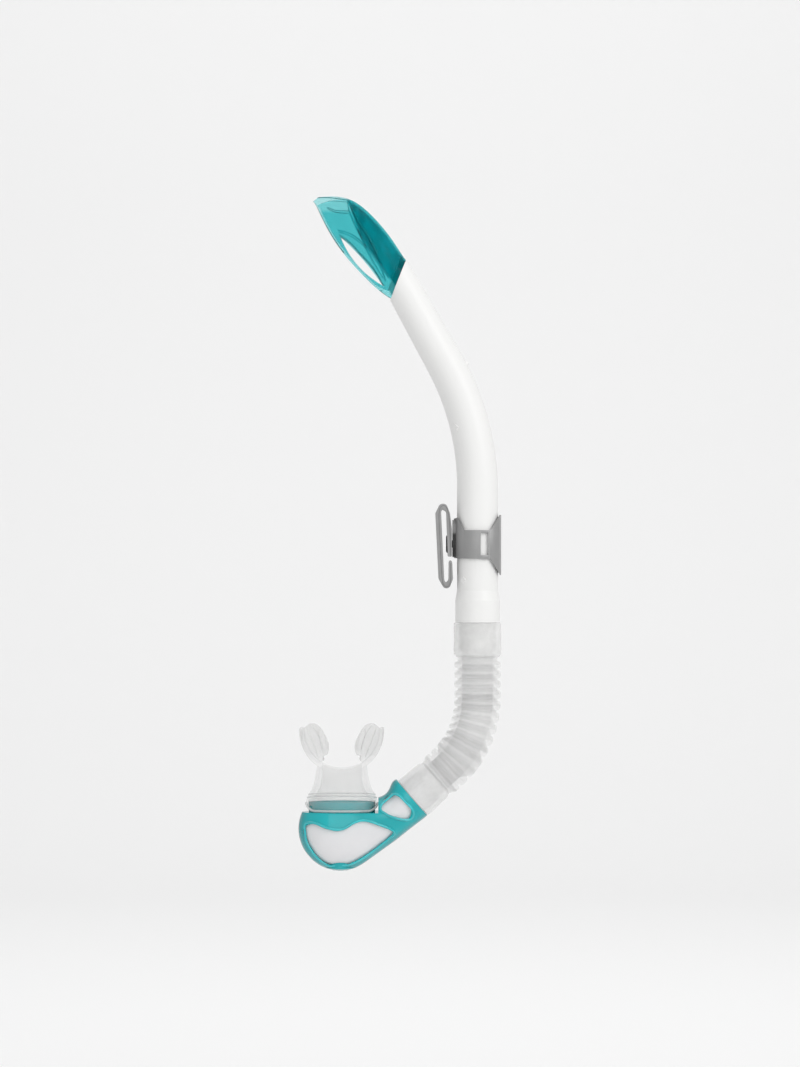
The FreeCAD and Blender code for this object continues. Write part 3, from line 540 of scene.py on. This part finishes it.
def rounded(node, name, finish, width, steps=2, bends=0.0):
    """Stands a copy with rounded edges in for a CAD node."""
    piece = merged_copy(node, name, finish)
    if bends:
        ease_bends(piece, bends)
    bevel = piece.modifiers.new("edges", "BEVEL")
    bevel.width = width
    bevel.segments = steps
    bevel.limit_method = "ANGLE"
    bevel.angle_limit = math.radians(EDGE_DEGREES)
    bevel.use_clamp_overlap = True
    piece = applied(piece)
    smooth(piece.data, CREASE_DEGREES)
    return stand_in(piece, node)


def softened(node, name, finish, voxel, rounds):
    """Stands a remeshed, smoothed copy in for a soft CAD node."""
    piece = merged_copy(node, name, finish)
    remesh = piece.modifiers.new("even", "REMESH")
    remesh.mode = "VOXEL"
    remesh.voxel_size = voxel
    relax = piece.modifiers.new("soft", "SMOOTH")
    relax.factor = 0.5
    relax.iterations = rounds
    piece = applied(piece)
    coat(piece.data, finish)
    smooth(piece.data)
    return stand_in(piece, node)


def dress(node, finish):
    """Gives a CAD node's own mesh a finish."""
    for held in frame["nodes"][node].material_slots:
        held.material = finish_of(finish)


def tree_of(*nodes):
    """Search tree over the surfaces of CAD nodes."""
    points, faces = [], []
    for node in nodes:
        mesh = frame["nodes"][node].data
        start = len(points)
        points += [v.co.copy() for v in mesh.vertices]
        faces += [[start + i for i in face.vertices] for face in mesh.polygons]
    return BVHTree.FromPolygons(points, faces)


def poly_line(name, points, closed=False):
    """A curve of straight stretches through points."""
    curve = bpy.data.curves.new(name, "CURVE")
    curve.dimensions = "3D"
    line = curve.splines.new("POLY")
    line.points.add(len(points) - 1)
    for held, point in zip(line.points, points):
        held.co = (*point, 1.0)
    line.use_cyclic_u = closed
    return curve


def round_bar(name, points, radius, finish, body, closed=True):
    """A closed or open round bar along points, as a mesh that rides a body."""
    curve = poly_line(name, points, closed)
    curve.bevel_depth = radius
    curve.bevel_resolution = BAR_ROUNDNESS
    curve.use_fill_caps = not closed
    piece = applied(link_object(name, curve))
    coat(piece.data, finish)
    smooth(piece.data)
    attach(piece, body)
    return piece


def dropped(x, z, side, tree):
    """Where a ray along Y from one side first meets the tree's surface, or None."""
    return tree.ray_cast(Vector((x, side * RAY_START, z)), Vector((0, -side, 0)))[0]


def between(a, b, c, d, t):
    """Point on the smooth line through a, b, c and d, at share t from b to c."""
    square = 2 * a - 5 * b + 4 * c - d
    cube = 3 * b - a - 3 * c + d
    return 0.5 * (2 * b + (c - a) * t + square * t * t + cube * t * t * t)


def closed_curve(corners, steps):
    """Smooth closed line through (x, z) corners, as evenly stepped points."""
    count = len(corners)
    points = []
    for i in range(count):
        a, b, c, d = (Vector(corners[(i + k - 1) % count]) for k in range(4))
        points += [between(a, b, c, d, step / steps) for step in range(steps)]
    return points


def open_curve(corners, steps):
    """Smooth open line through (x, z) corners."""
    held = [Vector(corner) for corner in corners]
    held = [2 * held[0] - held[1]] + held + [2 * held[-1] - held[-2]]
    points = []
    for i in range(1, len(held) - 2):
        a, b, c, d = held[i - 1 : i + 3]
        points += [between(a, b, c, d, step / steps) for step in range(steps)]
    return points + [held[-2]]


# ------------------------------------------------------------------ the hose's line

JOINTS = {joint["name"]: joint for joint in frame["joints"]}
HOSE_JOINTS = [
    joint for joint in frame["joints"] if joint["name"].startswith(("hose_bend", "hose_sway"))
]


def joint_point(index):
    return Vector(HOSE_JOINTS[index]["pos_m"])


def hose_centres():
    """Middle of each rib: halfway between the hinges on its two sides."""
    return [(joint_point(i) + joint_point(i + 1)) / 2 for i in range(len(HOSE_JOINTS) - 1)]


def ribbed_sleeve_tree(looks):
    """Geometry Nodes: a tube along a curve with half a rib at each marked end."""
    tree = bpy.data.node_groups.new("ribbed_sleeve", "GeometryNodeTree")
    face = tree.interface
    face.new_socket("Line", in_out="INPUT", socket_type="NodeSocketGeometry")
    for name, value in (
        ("Bore", looks.hose_bore),
        ("Valley", looks.hose_valley),
        ("Rib", looks.hose_rib),
        ("Rib share", looks.rib_share),
        ("Start rib", 1.0),
        ("End rib", 1.0),
    ):
        held = face.new_socket(name, in_out="INPUT", socket_type="NodeSocketFloat")
        held.default_value = value
    for name, value in (("Steps", SLEEVE_STEPS), ("Sides", SLEEVE_SIDES)):
        held = face.new_socket(name, in_out="INPUT", socket_type="NodeSocketInt")
        held.default_value = value
    face.new_socket("Finish", in_out="INPUT", socket_type="NodeSocketMaterial")
    face.new_socket("Sleeve", in_out="OUTPUT", socket_type="NodeSocketGeometry")
    nodes, links = tree.nodes, tree.links
    start = nodes.new("NodeGroupInput")
    end = nodes.new("NodeGroupOutput")

    def add(kind, settings=None, **values):
        node = nodes.new(kind)
        for key, value in (settings or {}).items():
            setattr(node, key, value)
        for key, value in values.items():
            socket = node.inputs[key.replace("_", " ")]
            if isinstance(value, bpy.types.NodeSocket):
                links.new(value, socket)
            else:
                socket.default_value = value
        return node

    def sum_of(operation, first, second=0.0, third=0.0):
        node = nodes.new("ShaderNodeMath")
        node.operation = operation
        for index, value in enumerate((first, second, third)):
            if isinstance(value, bpy.types.NodeSocket):
                links.new(value, node.inputs[index])
            else:
                node.inputs[index].default_value = value
        return node.outputs[0]

    given = start.outputs
    line = add(
        "GeometryNodeResampleCurve", {"mode": "COUNT"}, Curve=given["Line"], Count=given["Steps"]
    )
    place = add("GeometryNodeSplineParameter").outputs["Factor"]
    away = sum_of("ABSOLUTE", sum_of("MULTIPLY_ADD", place, 2.0, -1.0))
    first_half = sum_of("LESS_THAN", place, 0.5)
    wanted = sum_of(
        "ADD",
        sum_of("MULTIPLY", first_half, given["Start rib"]),
        sum_of("MULTIPLY", sum_of("SUBTRACT", 1.0, first_half), given["End rib"]),
    )
    ramp = sum_of("SUBTRACT", away, sum_of("SUBTRACT", 1.0, given["Rib share"]))
    ramp = sum_of("DIVIDE", sum_of("MAXIMUM", ramp, 0.0), given["Rib share"])
    short = sum_of("SUBTRACT", 1.0, ramp)
    fall = sum_of("SUBTRACT", 1.0, sum_of("POWER", short, 3.0))
    lobe = sum_of("SQRT", sum_of("MAXIMUM", fall, 0.0))
    rise = sum_of("MULTIPLY", sum_of("SUBTRACT", given["Rib"], given["Valley"]), lobe)
    radius = sum_of("ADD", given["Valley"], sum_of("MULTIPLY", rise, wanted))
    circle = add(
        "GeometryNodeCurvePrimitiveCircle", {"mode": "RADIUS"}, Radius=1.0,
        Resolution=given["Sides"],
    )

    def wall(wall_radius):
        """A tube's surface round the line, at a radius."""
        held = add("GeometryNodeSetCurveRadius", Curve=line.outputs[0], Radius=wall_radius)
        made = add(
            "GeometryNodeCurveToMesh", Curve=held.outputs[0], Profile_Curve=circle.outputs[0]
        )
        if "Scale" in made.inputs:
            links.new(add("GeometryNodeInputRadius").outputs[0], made.inputs["Scale"])
        return made

    outer, inner = wall(radius), wall(given["Bore"])
    turned = add("GeometryNodeFlipFaces", Mesh=inner.outputs[0])
    both = nodes.new("GeometryNodeJoinGeometry")
    links.new(outer.outputs[0], both.inputs[0])
    links.new(turned.outputs[0], both.inputs[0])
    real = add("GeometryNodeRealizeInstances", Geometry=both.outputs[0])
    skin = add("GeometryNodeSetMaterial", Geometry=real.outputs[0], Material=given["Finish"])
    links.new(skin.outputs[0], end.inputs[0])
    return tree


def input_named(tree, name):
    for item in tree.interface.items_tree:
        if item.item_type == "SOCKET" and item.in_out == "INPUT" and item.name == name:
            return item.identifier
    raise ValueError(name)


def sleeve_piece(name, tree, points, start_rib, end_rib):
    """One stretch of hose along its line, with its ends closed."""
    piece = link_object(name, poly_line(name, points))
    modifier = piece.modifiers.new("ribs", "NODES")
    modifier.node_group = tree
    modifier[input_named(tree, "Start rib")] = start_rib
    modifier[input_named(tree, "End rib")] = end_rib
    modifier[input_named(tree, "Finish")] = finish_of("hose_silicone")
    piece = applied(piece)
    work = bmesh.new()
    work.from_mesh(piece.data)
    rims = [edge for edge in work.edges if edge.is_boundary]
    for end in (points[0], points[-1]):
        bmesh.ops.bridge_loops(work, edges=[edge for edge in rims if near_end(edge, end)])
    bmesh.ops.recalc_face_normals(work, faces=work.faces)
    work.to_mesh(piece.data)
    work.free()
    smooth(piece.data, SLEEVE_DEGREES)
    return piece


def near_end(edge, point):
    middle = (edge.verts[0].co + edge.verts[1].co) / 2
    return (middle - Vector(point)).length < SLEEVE_END_REACH


# ------------------------------------------------------------------ sizes and looks


class SnorkelLooks(bpy.types.PropertyGroup):
    """Colours and small sizes that a user would change."""

    tube_colour: bpy.props.FloatVectorProperty(
        name="Tube", description="White of the barrel", subtype="COLOR",
        default=(0.83, 0.83, 0.82), min=0, max=1,
    )
    teal_clear: bpy.props.FloatVectorProperty(
        name="Guard tint", description="Tint of the clear splash guard", subtype="COLOR",
        default=(0.27, 0.77, 0.80), min=0, max=1,
    )
    teal_deep: bpy.props.FloatVectorProperty(
        name="Guard deep tint", description="Tint where the guard's wall is doubled",
        subtype="COLOR", default=(0.005, 0.49, 0.53), min=0, max=1,
    )
    teal_solid: bpy.props.FloatVectorProperty(
        name="Chamber teal", description="Colour of the chamber's frame", subtype="COLOR",
        default=(0.004, 0.40, 0.43), min=0, max=1,
    )
    milky_colour: bpy.props.FloatVectorProperty(
        name="Milky shell", description="Colour of the chamber's inner shell", subtype="COLOR",
        default=(0.80, 0.795, 0.81), min=0, max=1,
    )
    silicone_colour: bpy.props.FloatVectorProperty(
        name="Silicone", description="Colour of the hose and mouthpiece", subtype="COLOR",
        default=(0.74, 0.74, 0.735), min=0, max=1,
    )
    silicone_clear: bpy.props.FloatProperty(
        name="Silicone clearness", description="How much light the silicone lets through",
        subtype="FACTOR", default=0.84, min=0, max=1,
    )
    hose_clear: bpy.props.FloatProperty(
        name="Hose clearness", description="How much light the hose lets through",
        subtype="FACTOR", default=0.8, min=0, max=1,
    )
    grey_colour: bpy.props.FloatVectorProperty(
        name="Keeper grey", description="Silver-grey of the keeper and clip", subtype="COLOR",
        default=(0.3, 0.3, 0.3), min=0, max=1,
    )
    black_colour: bpy.props.FloatVectorProperty(
        name="Swivel black", description="Black of the swivel's pin and base", subtype="COLOR",
        default=(0.012, 0.012, 0.012), min=0, max=1,
    )
    paper_colour: bpy.props.FloatVectorProperty(
        name="Backdrop", description="Colour of the paper sweep", subtype="COLOR",
        default=(0.86, 0.86, 0.86), min=0, max=1,
    )
    hose_bore: bpy.props.FloatProperty(
        name="Hose bore", description="Radius inside the hose", unit="LENGTH", default=9.3 * MM
    )
    hose_valley: bpy.props.FloatProperty(
        name="Hose valley", description="Radius between two ribs", unit="LENGTH",
        default=12.0 * MM,
    )
    hose_rib: bpy.props.FloatProperty(
        name="Hose rib", description="Radius over a rib", unit="LENGTH", default=14.0 * MM
    )
    rib_share: bpy.props.FloatProperty(
        name="Rib share", description="How much of the pitch a rib takes", subtype="FACTOR",
        default=0.84, min=0.2, max=1,
    )
    port_width: bpy.props.FloatProperty(
        name="Port half width", description="Half width of the chamber's port", unit="LENGTH",
        default=19.9 * MM,
    )
    port_depth: bpy.props.FloatProperty(
        name="Port half depth", description="Half depth of the chamber's port", unit="LENGTH",
        default=10.9 * MM,
    )
    rim_radius: bpy.props.FloatProperty(
        name="Window rim", description="Radius of the bead round the chamber's windows",
        unit="LENGTH", default=0.8 * MM,
    )


# ------------------------------------------------------------------ operators


class SNORKEL_OT_tube(bpy.types.Operator):
    """Finish the rigid tube"""

    bl_idname = "snorkel.tube"
    bl_label = "Rigid tube"

    def execute(self, context):
        dress("barrel", "tube_white")
        return {"FINISHED"}


# Lines on the guard, in mm right of and above the low corner of its box.
GUARD_CREASE = (
    (20.9, 58.0), (21.8, 52.6), (24.5, 46.0), (28.6, 37.3),
    (31.8, 31.9), (37.8, 25.3), (41.9, 18.6), (45.8, 12.6),
)
LEAF_RIM = ((15.2, 40.6), (21.8, 38.6), (28.6, 34.0), (35.2, 26.7), (40.6, 18.6), (43.6, 10.6))
GUARD_INNER_RIB = ((22.4, 56.0), (27.0, 46.5), (32.6, 38.0), (38.5, 26.5))
LEAF_EDGE = ((16.0, 37.9), (22.7, 32.8), (28.8, 26.2), (36.0, 18.3), (41.3, 9.4), (42.9, 7.4))
GUARD_BROW = ((1.4, 59.9), (4.2, 60.5), (10.2, 60.3), (16.2, 59.5), (21.6, 58.7))
GUARD_FACET = ((8.5, 54.6), (14.0, 52.4), (21.4, 52.0))


def guard_corner():
    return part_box("splash_guard")[0] / MM


def guard_line(corners, side, tree):
    """A smooth line through corners, laid on the guard's skin from one side."""
    corner = guard_corner()
    points = []
    for point in open_curve(corners, 7):
        hit = dropped((corner.x + point.x) * MM, (corner.z + point.y) * MM, side, tree)
        if hit is not None:
            points.append(hit)
    return points


class SNORKEL_OT_guard(bpy.types.Operator):
    """Finish the splash guard and its inner vane"""

    bl_idname = "snorkel.guard"
    bl_label = "Splash guard"

    def execute(self, context):
        dress("splash_guard", "guard_clear_teal")
        dress("splash_baffle", "guard_clear_teal")
        tree = tree_of("splash_guard")
        for label, line, radius, finish in (
            ("crease", GUARD_CREASE, 0.42, "guard_clear_teal"),
            ("leaf_rim", LEAF_RIM, 0.4, "guard_clear_teal"),
            ("inner_rib", GUARD_INNER_RIB, 0.22, "guard_edge_teal"),
            ("facet", GUARD_FACET, 0.2, "guard_edge_teal"),
            ("leaf_edge", LEAF_EDGE, 0.24, "guard_edge_teal"),
            ("brow", GUARD_BROW, 0.26, "guard_edge_teal"),
        ):
            for side, where in ((-1, "front"), (1, "back")):
                round_bar(
                    f"guard_{label}_{where}", guard_line(line, side, tree), radius * MM,
                    finish, "tube", closed=False,
                )
        return {"FINISHED"}


# Middle of the clip's bar, mm from the middle of the strap slot.
CLIP_CHANNEL = (
    (2.9, -5.6), (2.7, 8.0), (2.0, 18.0), (0.4, 23.4), (-2.2, 24.0), (-3.9, 20.0),
    (-3.6, 8.0), (-2.9, -6.0), (-2.0, -20.0), (-0.6, -23.9), (1.8, -24.0), (3.0, -20.6),
    (3.0, -10.2),
)


class SNORKEL_OT_keeper(bpy.types.Operator):
    """Round the edges of the keeper's band, swivel and strap clip"""

    bl_idname = "snorkel.keeper"
    bl_label = "Strap keeper"

    def execute(self, context):
        rounded("keeper_ring", "keeper_band", "keeper_grey", 0.25 * MM)
        rounded("strap_clip", "keeper_clip", "keeper_grey", 0.45 * MM, 2, bends=1.7 * MM)
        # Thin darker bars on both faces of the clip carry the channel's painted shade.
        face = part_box("strap_clip")[0].y
        for where, y in (("front", face), ("back", -face)):
            points = [Vector((x * MM, y, z * MM)) for x, z in CLIP_CHANNEL]
            round_bar(
                f"clip_channel_shade_{where}", open_curve(points, 6), 0.24 * MM, "painted_channel_shade",
                "clip", closed=False,
            )
        rounded("swivel_base", "swivel_pad", "swivel_black", 0.3 * MM)
        rounded("swivel_pin", "swivel_rivet", "swivel_black", 0.25 * MM)
        dress("keeper_liner", "chamber_milky")
        return {"FINISHED"}


class SNORKEL_OT_hose(bpy.types.Operator):
    """Make the ribbed hose, each stretch arched across the hinge between two of its segments"""

    bl_idname = "snorkel.hose"
    bl_label = "Corrugated hose"

    def execute(self, context):
        looks = context.scene.snorkel_looks
        tree = ribbed_sleeve_tree(looks)
        centres = hose_centres()
        count = len(centres)
        for index in range(count + 1):
            low_end = index == 0
            high_end = index == count
            here = joint_point(index)
            before = into_cuff(here, centres[0]) if low_end else centres[index - 1]
            after = into_cuff(here, centres[-1]) if high_end else centres[index]
            points = arc_through(before, here, after, ARC_STEPS)
            name = f"hose_ribs_{index + 1:02d}"
            piece = sleeve_piece(name, tree, points, float(not low_end), float(not high_end))
            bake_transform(piece)
            if not high_end:
                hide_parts(f"hose_segment_{index + 1:02d}")
        rounded("hose_upper_cuff", "upper_cuff", "cuff_silicone", 0.5 * MM, 3)
        rounded("hose_lower_cuff", "lower_cuff", "cuff_silicone", 0.5 * MM, 3)
        return {"FINISHED"}


def into_cuff(here, centre):
    """Where the hose ends inside a cuff, past its end hinge."""
    return here + (here - centre) * INTO_CUFF


def arc_through(before, here, after, steps):
    """Points on the smooth line from before to after that leans towards here."""
    lean = here - before.lerp(after, 0.5)
    shares = [step / steps for step in range(steps + 1)]
    return [before.lerp(after, t) + lean * (2 * t * (1 - t)) for t in shares]


# Corners of the chamber's windows, mm from the bowl's centre.
BEAN = (
    (-20.6, 2.2), (-15.6, 3.6), (-7.0, 0.6), (1.5, 0.2), (9.0, 4.2), (15.0, 5.2),
    (23.5, 2.6), (31.5, -1.4), (28.0, -5.4), (18.0, -13.2), (8.5, -19.0),
    (-2.0, -22.0), (-11.5, -18.0), (-19.0, -8.0),
)
TRIANGLE = ((24.6, 13.2), (33.0, 20.6), (42.4, 12.2), (41.0, 6.8), (31.0, 8.6))


def bowl_centre():
    lift = JOINTS["purge_lift"]["pos_m"]
    return Vector((lift[0], 0, lift[2] + BOWL_RISE * MM))


def window_line(corners, grow, side, tree):
    """Window outline, grown outwards by mm, dropped onto the chamber from one side."""
    centre = bowl_centre()
    flat = closed_curve(corners, 8)
    middle = sum(flat, Vector((0, 0))) / len(flat)
    points = []
    for i, point in enumerate(flat):
        along = (flat[(i + 1) % len(flat)] - flat[i - 1]).normalized()
        outward = Vector((along.y, -along.x))
        if outward.dot(point - middle) < 0:
            outward.negate()
        grown = point + outward * grow
        start = centre + Vector((grown.x, 0.0, grown.y)) * MM
        hit = dropped(start.x, start.z, side, tree)
        if hit is not None:
            points.append(hit)
    return points


class SNORKEL_OT_chamber(bpy.types.Operator):
    """Finish the breathing chamber and bead its windows"""

    bl_idname = "snorkel.chamber"
    bl_label = "Breathing chamber"

    def execute(self, context):
        looks = context.scene.snorkel_looks
        dress("chamber_frame", "chamber_teal")
        dress("chamber_shell", "chamber_milky")
        tree = tree_of("chamber_frame")
        for label, corners in (("bean", BEAN), ("triangle", TRIANGLE)):
            for side, where in ((-1, "front"), (1, "back")):
                points = window_line(corners, BEAD_OUTSET, side, tree)
                round_bar(
                    f"{label}_bead_{where}", points, looks.rim_radius, "bead_teal", "chamber"
                )
        dress("purge_seat", "chamber_teal")
        rounded("purge_cover", "purge_grille", "chamber_teal", 0.2 * MM)
        dress("purge_valve_disc", "soft_silicone")
        return {"FINISHED"}


# Lines moulded on a bite tab: mm out from the middle and up from the foot.
BITE_LINES = (
    ((17.6, 51.6), (14.6, 47.0), (12.2, 41.0), (11.2, 35.0)),
    ((20.6, 50.0), (18.4, 44.0), (16.0, 38.0), (14.2, 33.0)),
)


# Mouthpiece, in mm: how far its foot is rounded up and stands outside the port, the
# top of its collar, and the front of a bite tab.
FOOT_ROUND = 6.0 * MM
FOOT_OUTSET = 1.9 * MM
COLLAR_TOP = 7.0 * MM
TAB_FRONT = 2.35
# Share of the port's size past which the collar's wall is pressed against the port.
COLLAR_FROM, COLLAR_TO = 0.9, 1.02
# Ridges round the mouthpiece: name, mm above the foot, mm outside the port, mm radius.
RIDGES = (("foot", 0.9, 1.6, 0.75), ("band", 8.6, 1.0, 0.34), ("neck", 10.4, 0.1, 0.34))


def foot_rise(out, wide):
    """How far the soft foot is rounded up at a distance out from its middle."""
    inset = FOOT_ROUND - (wide + FOOT_OUTSET - out)
    if inset <= 0:
        return 0.0
    return FOOT_ROUND - math.sqrt(max(0.0, FOOT_ROUND**2 - inset**2))


class SNORKEL_OT_mouthpiece(bpy.types.Operator):
    """Make the soft mouthpiece"""

    bl_idname = "snorkel.mouthpiece"
    bl_label = "Mouthpiece"

    def execute(self, context):
        looks = context.scene.snorkel_looks
        soft = softened("mouthpiece", "soft_mouthpiece", "soft_silicone", 0.42 * MM, 5)
        low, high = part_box("mouthpiece")
        middle = (low.x + high.x) / 2
        wide, deep, collar = looks.port_width, looks.port_depth, low.z + COLLAR_TOP
        for vertex in soft.data.vertices:
            point = vertex.co
            if point.z < collar:
                share = math.hypot((point.x - middle) / wide, point.y / deep)
                if COLLAR_FROM < share < COLLAR_TO:
                    point.x = middle + (point.x - middle) * COLLAR_TO / share
                    point.y = point.y * COLLAR_TO / share
        for label, height, grow, radius in RIDGES:
            points = []
            for step in range(RING_STEPS):
                turn = 2 * math.pi * step / RING_STEPS
                x = (wide + grow * MM) * math.cos(turn)
                y = (deep + grow * MM) * math.sin(turn)
                rise = foot_rise(abs(x), wide) if label == "foot" else 0.0
                points.append(Vector((middle + x, y, low.z + height * MM + rise)))
            name = f"mouthpiece_{label}_ridge"
            round_bar(name, points, radius * MM, "mouth_bead", "chamber")
        front = -MM * TAB_FRONT
        for side, label in ((-1, "left"), (1, "right")):
            for number, corners in enumerate(BITE_LINES, 1):
                points = [
                    Vector((middle + side * x * MM, front, low.z + z * MM)) for x, z in corners
                ]
                round_bar(
                    f"bite_{label}_line_{number}", open_curve(points, 6), 0.3 * MM,
                    "mouth_bead", "chamber", closed=False,
                )
        return {"FINISHED"}


class SNORKEL_OT_stage(bpy.types.Operator):
    """Set the pale sweep, the soft lights and the camera"""

    bl_idname = "snorkel.stage"
    bl_label = "Stage"

    def execute(self, context):
        scene = context.scene
        floor, reach, height, turn = -0.42, 3.2, 3.6, 0.9
        profile = [(-3.4, floor)]
        for step in range(13):
            angle = math.radians(90.0 * step / 12)
            profile.append(
                (reach - turn + turn * math.sin(angle), floor + turn - turn * math.cos(angle))
            )
        profile.append((reach, height))
        points, faces = [], []
        for y, z in profile:
            points += [(-4.0, y, z), (4.0, y, z)]
        for i in range(len(profile) - 1):
            faces.append((2 * i, 2 * i + 1, 2 * i + 3, 2 * i + 2))
        mesh = bpy.data.meshes.new("studio_sweep")
        mesh.from_pydata(points, [], faces)
        sweep = add_object("studio_sweep", mesh, "studio_paper")
        smooth(mesh)
        lights = (
            ("key_box", (1.4, -1.5, 0.9), 1.2, 15.0),
            ("fill_box", (-0.3, -2.6, 0.5), 1.6, 9.0),
            ("top_box", (0.2, 0.0, 1.6), 1.4, 5.0),
            ("paper_wash", (0.0, 1.2, 1.8), 2.4, 21.0),
        )
        aims = {"paper_wash": Vector((0.0, 3.0, 0.2))}
        for name, place, size, power in lights:
            lamp = bpy.data.lights.new(name, "AREA")
            lamp.shape = "SQUARE"
            lamp.size = size
            lamp.energy = power
            held = bpy.data.objects.new(name, lamp)
            held.location = place
            held.visible_transmission = False
            aim = aims.get(name, Vector((0, 0, 0)))
            held.rotation_euler = (aim - Vector(place)).to_track_quat("-Z", "Y").to_euler()
            scene.collection.objects.link(held)
        world = bpy.data.worlds.new("studio_air")
        world.use_nodes = True
        world.node_tree.nodes["Background"].inputs["Color"].default_value = (1, 1, 1, 1)
        world.node_tree.nodes["Background"].inputs["Strength"].default_value = 0.65
        scene.world = world
        lens = bpy.data.cameras.new("studio_camera")
        lens.lens = 135.0
        lens.sensor_width = 36.0
        lens.clip_end = 20.0
        camera = bpy.data.objects.new("studio_camera", lens)
        camera.location = (-0.0273, -2.4, 0.0075)
        camera.rotation_euler = (math.radians(90), 0, 0)
        scene.collection.objects.link(camera)
        scene.camera = camera
        scene.view_settings.view_transform = "Standard"
        return {"FINISHED"}


class SNORKEL_PT_panel(bpy.types.Panel):
    """Lists the snorkel's pieces and looks in the sidebar"""

    bl_idname = "SNORKEL_PT_panel"
    bl_label = "Snorkel tube"
    bl_space_type = "VIEW_3D"
    bl_region_type = "UI"
    bl_category = "Snorkel"

    def draw(self, context):
        looks = context.scene.snorkel_looks
        for name in SnorkelLooks.__annotations__:
            self.layout.prop(looks, name)
        for step in STEPS:
            self.layout.operator(step.bl_idname)


STEPS = (
    SNORKEL_OT_stage,
    SNORKEL_OT_tube,
    SNORKEL_OT_guard,
    SNORKEL_OT_keeper,
    SNORKEL_OT_hose,
    SNORKEL_OT_chamber,
    SNORKEL_OT_mouthpiece,
)
CLASSES = (SnorkelLooks, *STEPS, SNORKEL_PT_panel)


def register():
    for kind in CLASSES:
        bpy.utils.register_class(kind)
    bpy.types.Scene.snorkel_looks = bpy.props.PointerProperty(type=SnorkelLooks)


def unregister():
    del bpy.types.Scene.snorkel_looks
    for kind in reversed(CLASSES):
        bpy.utils.unregister_class(kind)


def main():
    register()
    bpy.ops.snorkel.stage()
    bpy.ops.snorkel.tube()
    bpy.ops.snorkel.guard()
    bpy.ops.snorkel.keeper()
    bpy.ops.snorkel.hose()
    bpy.ops.snorkel.chamber()
    bpy.ops.snorkel.mouthpiece()
    bpy.context.view_layer.update()


if __name__ == "__main__":
    main()
